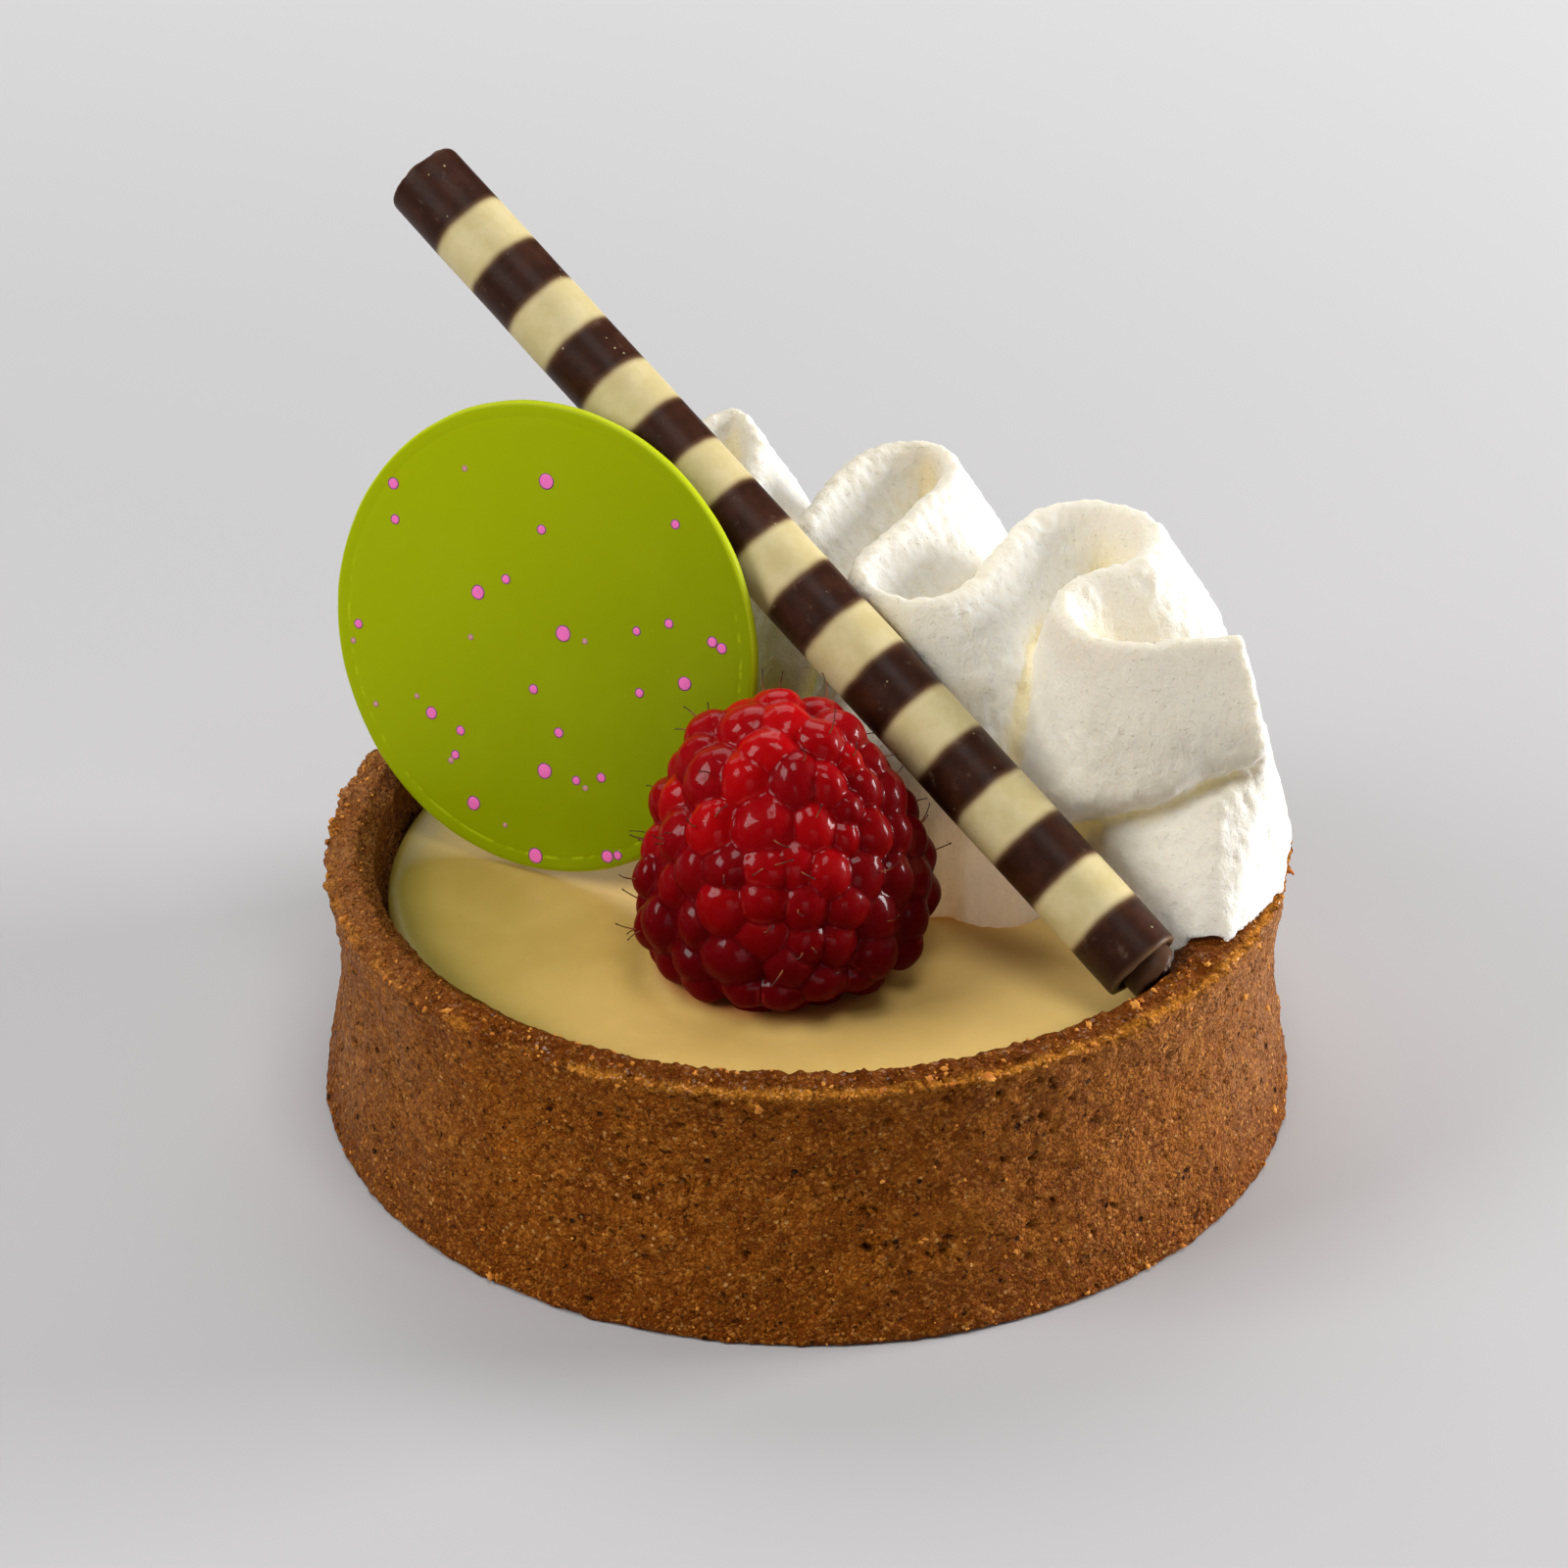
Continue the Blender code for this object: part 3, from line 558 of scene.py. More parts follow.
disc = {
    "radius": 18.45, "thickness": 1.2, "frontCentre": (-20.4, 4.0, 35.95),
    "facing": (-0.46, -0.861, 0.215), "edgeRound": 0.4, "ring": 17.25, "steps": 220,
    # the lighter green is painted light towards the upper left of the face; the edge colour is the mould's faint
    # ring line and a painted highlight along the rounded rim
    "green": (0.222, 0.278, 0.0), "litGreen": (0.345, 0.412, 0.0), "bloom": (0.34, 0.41, 0.005),
    "edge": (0.60, 0.69, 0.015), "faint": (0.42, 0.34, 0.10),
    "pink": (0.95, 0.17, 0.52), "deepPink": (0.70, 0.11, 0.42),
    "purple": (0.20, 0.05, 0.15), "palePurple": (0.3, 0.08, 0.2), "dotSides": 24, "smallDot": 0.25,
    # dots of coloured cocoa butter: across, up and radius, from the disc's centre
    "dots": ((-12.9, 10.9, .42), (-12.8, 8.1, .34), (-6.5, 12.7, .19), (0.7, 12.4, .59),
             (0.2, 8.6, .34), (11.8, 10.2, .33), (-5.5, 3.1, .53), (-3.0, 4.4, .34),
             (-16.4, -0.6, .33), (-16.9, -2.0, .19), (-6.2, -0.5, .19), (2.0, 0.7, .60),
             (3.9, 0.3, .19), (8.4, 1.6, .30), (11.2, 2.5, .33), (14.9, 1.5, .38),
             (15.7, 1.1, .38), (12.5, -2.0, .52), (8.6, -3.2, .33), (-0.7, -4.0, .34),
             (1.5, -7.2, .36), (0.2, -10.4, .58), (3.0, -10.8, .32), (3.8, -11.3, .19),
             (5.2, -10.3, .34), (-9.9, -7.0, .45), (-11.2, -5.8, .17), (-15.0, -6.9, .19),
             (-7.3, -8.1, .34), (-7.8, -10.1, .32), (-8.2, -10.6, .22), (-6.2, -13.8, .53),
             (-3.4, -15.2, .15), (-0.7, -17.3, .56), (5.7, -16.5, .46), (6.6, -16.3, .32)),
}
discPlace = Matrix.Translation(Vector(disc["frontCentre"]) * mm) @ turnTo(disc["facing"], (1, 0, 0))


def fromDisc(points):  # how far points are ahead of the disc's face and from its axis, and where it faces
    facing = np.array(Vector(disc["facing"]).normalized())
    off = points - np.array(disc["frontCentre"])
    ahead = off @ facing
    return ahead, np.linalg.norm(off - ahead[:, None] * facing, axis=1), facing


def makeDisc():
    r, thick, edge, ring = disc["radius"], disc["thickness"], disc["edgeRound"], disc["ring"]
    profile = [(x, 0.0) for x in (1, 3, 6, 9, 12, 14, 15.5, 16.5, ring - 0.35)]
    profile += [(ring - 0.12, -0.01), (ring, -0.03), (ring + 0.12, -0.01), (ring + 0.3, 0.0), (ring + 0.6, 0.0)]
    profile += arc((r - edge, -edge), edge, 88, 0, 6)
    profile += arc((r - 0.7, -thick + 0.7), 0.7, 0, -88, 7)
    profile += [(x, -thick) for x in (16, 12, 7, 2)]
    points = turned(profile, disc["steps"])
    bent = points.copy()
    bent[:, 2] += lumps(points * (1, 1, 0), 14.0, 1, 2.0) * 0.10
    out = eased(np.hypot(points[:, 0], points[:, 1]), 17.0, 18.0)
    bent[:, :2] *= (1 + lumps(points, 5.0, 2, 12.0) * 0.0035 * out)[:, None]
    piece = closedTurn("chocolateDisc", bent, disc["steps"], (0.0, -thick))
    piece.data.flip_normals()
    piece.matrix_world = discPlace
    return piece


def makeDots(name, grow, high):
    # flat lens-shaped dots on the disc's front face, some a little out of round
    shape, sides = bmesh.new(), disc["dotSides"]
    rings = ((1.0, 0.0), (0.93, 0.6), (0.72, 0.9), (0.35, 1.0))
    for i, (across, up, size) in enumerate(disc["dots"]):
        lift = noise.noise((across / 14 + 2, up / 14 + 2, 2.0)) * 0.10
        before = None
        for share, rise in rings:
            here = []
            for k in range(sides):
                angle = k * math.pi / (sides / 2)
                uneven = 1 + 0.07 * noise.noise((math.cos(angle), math.sin(angle), i * 3.1))
                away = (size + grow) * share * uneven
                spot = (across + away * math.cos(angle), up + away * math.sin(angle), lift + high * rise)
                here.append(shape.verts.new(Vector(spot) * mm))
            if before:
                for k in range(sides):
                    after = (k + 1) % sides
                    shape.faces.new((before[k], before[after], here[after], here[k]))
            else:
                shape.faces.new(here[::-1])
            before = here
        shape.faces.new(before)
    piece = fromShape(name, shape)
    small = [float(size < disc["smallDot"]) for _, _, size in disc["dots"]]
    setAttribute(piece, "faint", np.repeat(small, sides * len(rings)))
    piece.matrix_world = discPlace
    return piece


def discMaterial():
    start = newMaterial("greenChocolate", {
        "Subsurface Weight": 0.08, "Subsurface Scale": 0.001, "Specular IOR Level": 0.06})
    place = start.place()
    x, y, out, ring = place.part("X"), place.part("Y"), place.fromAxis(), disc["ring"]
    haze = place.noise(9.0, 4.0, 0.6).between(0.42, 0.75)
    dusty = place.specks(1.7, (0.075, 0.04), 6.0, (0.5, 0.62))
    ringLine = out.between(ring - 0.16, ring) * (1 - out.between(ring, ring + 0.2))
    broken = place.noise(1.3).between(0.46, 0.6)
    base = start.painted(
        # lighter towards the upper left: painted light
        disc, "green", ((y * 0.7 - x * 0.8).between(-21.0, 18.0), "litGreen"), (haze * 0.22, "bloom"),
        (dusty * 0.5, "bloom"), (ringLine * broken * (1 - y.between(2.0, 7.0)) * 0.4, "edge"),
        # a lighter band just inside the rounded rim: painted highlight
        (out.between(disc["radius"] - 0.32, disc["radius"] - 0.08) * 0.6, "edge"))
    fine = place.noise(0.7, 3.0, 0.6) + place.noise(7.0) * 2.0
    return start.finished(colour=base, roughness=0.36 + haze * 0.14 + dusty * 0.2,
                          normal=fine.relief(0.00004, 0.45))


def dotMaterial(name, colour, other):
    start = newMaterial(name, {"Specular IOR Level": 0.4})
    tone = start.place().noise(0.8).between(0.3, 0.7)
    base = start.painted(disc, colour, (tone * 0.35, other), (start.attribute("faint") * 0.55, "faint"))
    return start.finished(colour=base, roughness=0.38 + tone * 0.15, normal=tone.relief(0.00002, 0.4))


dress(makeDisc(), discMaterial(), "green_chocolate", "chocolate_disc")
dress(makeDots("pinkDots", 0.0, 0.030), dotMaterial("pinkCocoaButter", "pink", "deepPink"), "green_chocolate")
dress(makeDots("dotOutlines", 0.075, 0.014), dotMaterial("purpleCocoaButter", "purple", "palePurple"),
      "green_chocolate")


pencil = {
    "radius": 3.15, "length": 82.9, "sheet": 0.66, "pitch": 1.0, "turns": 2.3, "sides": 88, "offCentre": 0.3,
    "lowEnd": (24.64, -20.2, 21.55), "direction": (-0.6544, 0.5411, 0.5281), "seam": (0.65, 0.74, 0.23),
    "tuck": 0.28, "coreOut": 1.5, "rows": 110, "band": 4.30,
    "dark": (0.028, 0.0078, 0.0032), "darkWarm": (0.047, 0.0136, 0.0055), "white": (0.59, 0.485, 0.232),
    "cream": (0.66, 0.555, 0.300), "blur": (0.20, 0.105, 0.045), "cut": (0.115, 0.050, 0.022),
    # inside is painted shade on the inner turns of the roll
    "smear": (0.30, 0.22, 0.15), "inside": (0.016, 0.007, 0.005),
}
pencilPlace = Matrix.Translation(Vector(pencil["lowEnd"]) * mm) @ turnTo(pencil["direction"], pencil["seam"])


def makePencil():
    # a sheet rolled into a spiral; every point of the outline knows its turn
    outer, inner, turns = [], [], []
    middle = pencil["radius"] - pencil["sheet"] / 2
    count = round(pencil["turns"] * pencil["sides"])
    for i in range(count + 1):
        turn = i / pencil["sides"]
        angle = -2 * math.pi * turn
        tuck = max(0.0, turn % 1.0 - 1.0 + pencil["tuck"]) / pencil["tuck"]
        radius = middle - pencil["pitch"] * (math.floor(turn) + tuck ** 2 * (3 - 2 * tuck))
        aside = pencil["offCentre"] * float(eased(turn, 0.75, 1.05))
        half = pencil["sheet"] / 2 * min(1.0, math.sqrt(0.15 + i / 5), math.sqrt(0.15 + (count - i) / 5))
        for side, found in ((half, outer), (-half, inner)):
            found.append((aside + (radius + side) * math.cos(angle), (radius + side) * math.sin(angle)))
        turns.append(turn)
    outline = np.array(outer + inner[::-1])
    turnOf = np.array(turns + turns[::-1])
    centre = np.array([((a[0] + b[0]) / 2, (a[1] + b[1]) / 2) for a, b in zip(outer, inner)])
    centre = np.vstack([centre, centre[::-1]])
    ends = np.array([0.0, 0.06, 0.16, 0.3])
    heights = np.concatenate([ends, np.linspace(0.6, pencil["length"] - 0.6, pencil["rows"]),
                              pencil["length"] - ends[::-1]])
    rows = []
    for height in heights:
        near = min(height, pencil["length"] - height)
        inset = 1 - 0.38 * max(0.0, 1 - near / 0.3) ** 2
        flat = centre + (outline - centre) * inset
        out = pencil["coreOut"] * eased(turnOf, 0.9, 1.35)
        rows.append(np.column_stack([flat, height - out]))
    points = np.vstack(rows)
    wavy = lumps(points, 6.0, 2, 7.0) * 0.035
    points[:, :2] *= (1 + wavy / pencil["radius"])[:, None]
    ragged = lumps(points * (1, 1, 0), 1.1, 2, 21.0) * 0.14
    nearEnd = 1 - eased(np.minimum(points[:, 2] + 1.5, pencil["length"] - points[:, 2]), 0.0, 2.5)
    points[:, 2] += ragged * nearEnd
    size, last = len(outline), (len(heights) - 1) * len(outline)
    faces = [list(face) for face in gridFaces(len(heights), size)]
    for i in range(count):
        a, b, c, d = i, i + 1, size - 2 - i, size - 1 - i
        faces.append([a, b, c, d])
        faces.append([last + d, last + c, last + b, last + a])
    piece = newPiece("rolledPencil", points * mm, faces)
    shape = bmesh.new()
    shape.from_mesh(piece.data)
    bmesh.ops.recalc_face_normals(shape, faces=shape.faces)
    shape.to_mesh(piece.data)
    shape.free()
    # the inner turns of the roll, painted near-black as painted shade
    setAttribute(piece, "inside", np.tile(eased(turnOf, 0.98, 1.12), len(heights)))
    piece.matrix_world = pencilPlace
    return piece


def pencilMaterial():
    start = newMaterial("stripedChocolate", {
        "Subsurface Weight": 0.05, "Subsurface Scale": 0.0008, "Specular IOR Level": 0.13})
    place = start.place()
    z, band, half = place.part("Z"), pencil["band"], pencil["length"] / 2
    wander = (place.noise(3.5) - 0.5) * 0.5
    along = start.maths("MINIMUM", z, band * 18.5) + wander  # the last band runs to the end
    phase = start.maths("PINGPONG", along - band / 2, band)  # 0 in a band's middle, band in the next one's
    white = phase.between(band / 2 - 0.20, band / 2 + 0.22)
    seam = phase.between(band / 2 - 0.55, band / 2) * (1 - phase.between(band / 2, band / 2 + 0.5))
    streaks = place.noise(2.4, 3.0, 0.6)
    dark = start.colours(streaks.between(0.4, 0.7), pencil["dark"], pencil["darkWarm"])
    pale = start.colours(streaks.between(0.35, 0.7), pencil["white"], pencil["cream"])
    dust = place.specks(1.15, (0.10, 0.05), 4.0, (0.47, 0.6))
    smear = place.noise(1.4, 3.0, 0.65).between(0.60, 0.78)
    ends = start.maths("ABSOLUTE", z - half)
    base = start.painted(
        pencil, start.colours(white, dark, pale), (seam * 0.45, "blur"), (dust * (1 - white) * 0.55, "cream"),
        # near-black on the roll's inner turns: painted shade
        (smear * (1 - white) * 0.22, "smear"), (start.attribute("inside"), "inside"),
        (ends.between(half - 0.22, half - 0.02) * 0.7, "cut"))
    fine = place.noise(0.6, 3.0, 0.6) + dust
    return start.finished(colour=base, roughness=0.36 + smear * 0.2 + streaks * 0.12 + dust * 0.2,
                          normal=fine.relief(0.00005, 0.5))


dress(makePencil(), pencilMaterial(), "striped_chocolate", "chocolate_pencil")


berry = {
    "foot": (-1.6, -13.0, 17.8), "height": 21.4, "radius": 10.7, "footRadius": 7.6, "widest": 0.27,
    "lean": (-0.6, 0.3), "footShift": -1.0, "depth": 0.95, "taper": 1.68,
    "coreInset": 0.45, "voxel": 0.17, "seed": 7,
    "swell": 1.36, "dome": 0.88, "rise": 0.72, "spacing": 2.75, "backSize": 1.55, "hairs": 64,
    # drupelets in view: across and down in the frame's pixels, half width and half height there
    "front": ((755, 731, 24, 25), (803, 729, 24, 26), (716, 742, 20, 22), (784, 764, 24, 20),
              (843, 752, 20, 22), (690, 777, 15, 18), (719, 790, 25, 27), (755, 792, 24, 26),
              (812, 793, 20, 27), (846, 800, 15, 22), (868, 774, 14, 17), (886, 803, 15, 20),
              (681, 812, 18, 24), (684, 852, 20, 22), (722, 845, 23, 27), (778, 845, 27, 29),
              (833, 845, 17, 25), (867, 825, 13, 15), (865, 855, 14, 18), (893, 850, 15, 20),
              (660, 862, 12, 20), (740, 887, 21, 20), (706, 887, 18, 21), (681, 905, 15, 20),
              (657, 895, 12, 19), (781, 888, 20, 19), (811, 886, 16, 19), (847, 893, 18, 20),
              (884, 893, 17, 20), (735, 927, 20, 22), (778, 920, 22, 22), (822, 925, 17, 20),
              (866, 925, 19, 20), (669, 942, 18, 25), (706, 945, 17, 25), (775, 958, 25, 23),
              (856, 965, 19, 23), (822, 965, 18, 20), (744, 981, 25, 24), (806, 987, 21, 23),
              (901, 940, 18, 26), (897, 978, 19, 20), (700, 985, 20, 18), (714, 1011, 19, 16),
              (760, 1014, 21, 15), (797, 1017, 20, 16), (838, 1007, 22, 20), (880, 1000, 17, 15),
              (920, 895, 15, 25), (918, 848, 13, 22), (938, 935, 12, 24), (930, 975, 14, 18)),
    # red and the lighter red over it are painted light, redder and brighter towards the top; dark is painted
    # shade at the right and in the grooves; skin is the bloom, and a painted glow along the drupelets' rims
    "red": (0.300, 0.0004, 0.0026), "litTone": (0.54, 0.0008, 0.0014), "deep": (0.105, 0.0002, 0.0018),
    "dark": (0.045, 0.0001, 0.0007), "skin": (0.52, 0.045, 0.036),
    "hair": (0.30, 0.085, 0.03), "hairTip": (0.030, 0.010, 0.006), "hairTone": (0.12, 0.03, 0.012),
}


def berryRadius(share):
    if share < berry["widest"]:
        low = (berry["widest"] - share) / berry["widest"]
        return berry["radius"] - (berry["radius"] - berry["footRadius"]) * low ** 3
    high = (share - berry["widest"]) / (1 - berry["widest"])
    return berry["radius"] * math.sqrt(max(0.0, 1 - high ** berry["taper"]))


def berryMiddle(share):  # where the berry's middle line is at a share of its height
    low = np.maximum(0.0, 1 - share / berry["widest"]) ** 2
    return (berry["foot"][0] + berry["lean"][0] * share + berry["footShift"] * low,
            berry["foot"][1] + berry["lean"][1] * share)


def onBerry(x, y, z):
    middle = berryMiddle(z / berry["height"])
    return Vector((middle[0] + x, middle[1] + y * berry["depth"], berry["foot"][2] + z))


def bodyReach(point):  # 1 on the berry's body, less inside
    share = (point[2] - berry["foot"][2]) / berry["height"]
    middle = berryMiddle(max(share, 0.0))
    x, y = point[0] - middle[0], (point[1] - middle[1]) / berry["depth"]
    if share > berry["widest"]:
        high = (share - berry["widest"]) / (1 - berry["widest"])
        return (x * x + y * y) / berry["radius"] ** 2 + high ** berry["taper"]
    return (x * x + y * y) / berryRadius(max(share, 0.0)) ** 2


def bodyOut(point):
    step = 0.05
    slope = [bodyReach(point + Vector(d) * step) - bodyReach(point - Vector(d) * step)
             for d in ((1, 0, 0), (0, 1, 0), (0, 0, 1))]
    return Vector(slope).normalized()


def drupelets():
    # those in view are set where their sight lines meet the body; the rest fill the widest gaps left
    chance = random.Random(berry["seed"])
    found = []
    for across, down, wide, high in berry["front"]:
        ray = sightLine(across, down)
        path = [viewFrom + ray * (k * 0.15) for k in range(2200, 2700)]
        inside = [point for point in path if bodyReach(point) < 1]
        point = inside[0] if inside else min(path, key=bodyReach)
        point.z = max(point.z, berry["foot"][2] + 0.5)
        wide, high = wide / view["pixelsPerMm"], high / view["pixelsPerMm"]
        least = max(wide, high) * 0.82
        found.append((point, max(wide, least), max(high, least)))
    loose = []
    for _ in range(2600):
        share, angle = chance.random(), chance.uniform(0, 2 * math.pi)
        radius = berryRadius(share)
        if chance.random() < radius / berry["radius"] + 0.1:
            loose.append(onBerry(radius * math.cos(angle), radius * math.sin(angle), share * berry["height"]))
    spots = np.array([tuple(p) for p in loose])
    gap = np.min([np.linalg.norm(spots - np.array(entry[0]), axis=1) for entry in found], axis=0)
    while gap.max() > berry["spacing"]:
        best = int(gap.argmax())
        size = berry["backSize"] * chance.uniform(0.9, 1.15)
        found.append((Vector(spots[best]), size * chance.uniform(0.92, 1.1), size))
        gap = np.minimum(gap, np.linalg.norm(spots - spots[best], axis=1))
    placed = []
    for point, wide, high in found:
        out = bodyOut(point)
        dome = (wide + high) / 2 * berry["dome"]
        across = Vector((0, 0, 1)).cross(out)
        turn = turnTo(out, across if across.length > 0.05 else (1, 0, 0)).to_3x3()
        swell = berry["swell"] * chance.uniform(0.90, 1.10)
        axes = (wide * swell, high * swell, dome * berry["swell"])
        rise = berry["rise"] + chance.uniform(-0.28, 0.32) - 0.3 * (point.z < berry["foot"][2] + 2.5)
        placed.append((point - out * (axes[2] - rise), turn, axes, chance.random()))
    return placed


def pressedByDisc(points, gap):  # keeps points in front of the disc's face
    ahead, flat, facing = fromDisc(points)
    push = np.where((flat < disc["radius"] + gap) & (ahead < gap) & (ahead > -4.0), gap - ahead, 0.0)
    return points + push[:, None] * facing


def makeBerry():
    found = drupelets()
    shape = bmesh.new()
    bmesh.ops.create_uvsphere(shape, u_segments=40, v_segments=24, radius=1.0)
    for vertex in shape.verts:
        share = (vertex.co.z + 1) / 2
        flat = math.hypot(vertex.co.x, vertex.co.y)
        wide = max(0.0, berryRadius(share) - berry["coreInset"]) / flat if flat > 0.01 else 0.0
        vertex.co = onBerry(vertex.co.x * wide, vertex.co.y * wide, share * (berry["height"] - 0.9) + 0.1) * mm
    for i, (centre, turn, axes, _) in enumerate(found):
        made = bmesh.ops.create_icosphere(shape, subdivisions=3, radius=1.0)
        for vertex in made["verts"]:
            local = Vector([vertex.co[k] * axes[k] for k in range(3)])
            local *= 1 + 0.09 * noise.noise(vertex.co * 1.3 + Vector((i * 5.3, 0, 0)))
            vertex.co = (centre + turn @ local) * mm
    piece = remeshed(fromShape("raspberryFruit", shape), berry["voxel"] * mm, 7)
    points = pressedByDisc(pointsOf(piece) / mm, 0.25)
    points[:, 2] = np.maximum(points[:, 2], custard["top"] - 0.2)
    setPoints(piece, points * mm)
    # how far each point is from each drupelet, in that drupelet's own size
    reach = np.full((len(found), len(points)), 9.0)
    for i, (centre, turn, axes, _) in enumerate(found):
        local = (points - np.array(centre)) @ np.array(turn)
        near = np.abs(local).max(axis=1) < 4.0
        reach[i, near] = np.linalg.norm(local[near] / np.array(axes), axis=1)
    order = np.argsort(reach, axis=0)[:2]
    first, second = np.take_along_axis(reach, order, axis=0)
    tones = np.array([entry[3] for entry in found])
    setAttribute(piece, "tone", tones[order[0]])
    # groove and line: where painted shade fills the grooves and a painted glow runs along the drupelets' rims
    setAttribute(piece, "groove", 1 - eased(second - first, 0.0, 0.10))
    setAttribute(piece, "line", np.exp(-((second - first - 0.12) / 0.045) ** 2))
    return piece, found


def makeHairs(found):
    # dried styles: fine bent hairs out of the drupelets, darker at their tips
    chance = random.Random(23)
    points, faces, tips = [], [], []
    sides, rows = 6, 9
    for _ in range(berry["hairs"]):
        centre, turn, axes, _ = found[chance.randrange(len(found))]
        out, size = turn @ Vector((0, 0, 1)), axes[2]
        if out.z < -0.25 or out.y > 0.75:
            continue
        lean = Vector((chance.uniform(-1, 1), chance.uniform(-1, 1), chance.uniform(-0.6, 0.9)))
        heading = (out + lean * 0.55).normalized()
        start = centre + heading * size * 0.9
        side = heading.cross(Vector((0.3, 0.2, 1))).normalized()
        bend = side.cross(heading) * chance.uniform(-0.5, 0.5) + side * chance.uniform(-0.5, 0.5)
        length = chance.uniform(0.9, 2.1)
        first = len(points)
        for row in range(rows):
            share = row / (rows - 1)
            spot = start + heading * length * share + bend * length * share ** 2
            thick = 0.072 * (1 - 0.5 * share) + (0.035 if row == rows - 1 else 0.0)
            up = side.cross(heading)
            for k in range(sides):
                angle = 2 * math.pi * k / sides
                points.append(spot + (side * math.cos(angle) + up * math.sin(angle)) * thick)
                tips.append(share)
        faces += [tuple(face) for face in gridFaces(rows, sides) + first]
        faces.append(tuple(range(first + sides - 1, first - 1, -1)))
        faces.append(tuple(range(first + (rows - 1) * sides, first + rows * sides)))
    spots = pressedByDisc(np.array([tuple(p) for p in points]), 0.2)
    spots[:, 2] = np.maximum(spots[:, 2], custard["top"] + 0.2)
    piece = newPiece("raspberryHairs", spots * mm, faces)
    setAttribute(piece, "tip", tips)
    return piece


def berryMaterial():
    start = newMaterial("raspberry", {
        "Subsurface Weight": 0.5, "Subsurface Radius": (1.0, 0.07, 0.05), "Subsurface Scale": 0.0026,
        "Specular IOR Level": 0.03, "Coat Roughness": 0.085, "Coat IOR": 1.38})
    place = start.place()
    height, tone = place.part("Z").between(20.5, 37.0), start.attribute("tone")
    hazy = place.noise(1.1, 4.0, 0.7).between(0.50, 0.75)
    dusty = place.specks(0.42, (0.20, 0.08), 2.0, (0.52, 0.66))
    line = start.attribute("line") * place.noise(1.6).between(0.50, 0.62)
    upward = start.facing("Z").between(0.12, 0.66)
    base = start.painted(
        # redder, and brighter on lighter drupelets, towards the top: painted light
        berry, "deep", (height, "red"), (tone.between(0.4, 1.0) * 0.5 * height, "litTone"),
        # some drupelets darker at random; darker towards the right, where the pencil and cream shade it: painted
        # shade
        ((1 - tone).between(0.6, 1.0) * 0.4, "deep"), (place.part("X").between(-1.0, 8.5) * 0.62, "dark"),
        (hazy * 0.04, "skin"), (dusty * 0.22, "skin"),
        # dark in the grooves between drupelets: painted shade; pale lines along the drupelets' lower rims:
        # painted glow
        (start.attribute("groove") * (0.55 - height * 0.4), "dark"), (line * (1 - upward) * 0.30, "skin"))
    fine = place.noise(0.28, 2.0, 0.6) + place.noise(0.9) * 2.0 + dusty * 0.5
    return start.finished(colour=base, roughness=0.4 + hazy * 0.2 + line * 0.1,
                          coat=upward * (0.46 - hazy * 0.40), normal=fine.relief(0.00006, 0.5))


def hairMaterial():
    start = newMaterial("raspberryHair", {"Specular IOR Level": 0.3})
    tip = start.attribute("tip")
    base = start.painted(berry, "hair", (tip.between(0.25, 0.85), "hairTip"),
                         (start.place().noise(0.5) * 0.4, "hairTone"))
    return start.finished(colour=base, roughness=0.5 + tip * 0.15)


fruit, found = makeBerry()
dress(fruit, berryMaterial(), "raspberry", "raspberry")
dress(makeHairs(found), hairMaterial(), "raspberry")


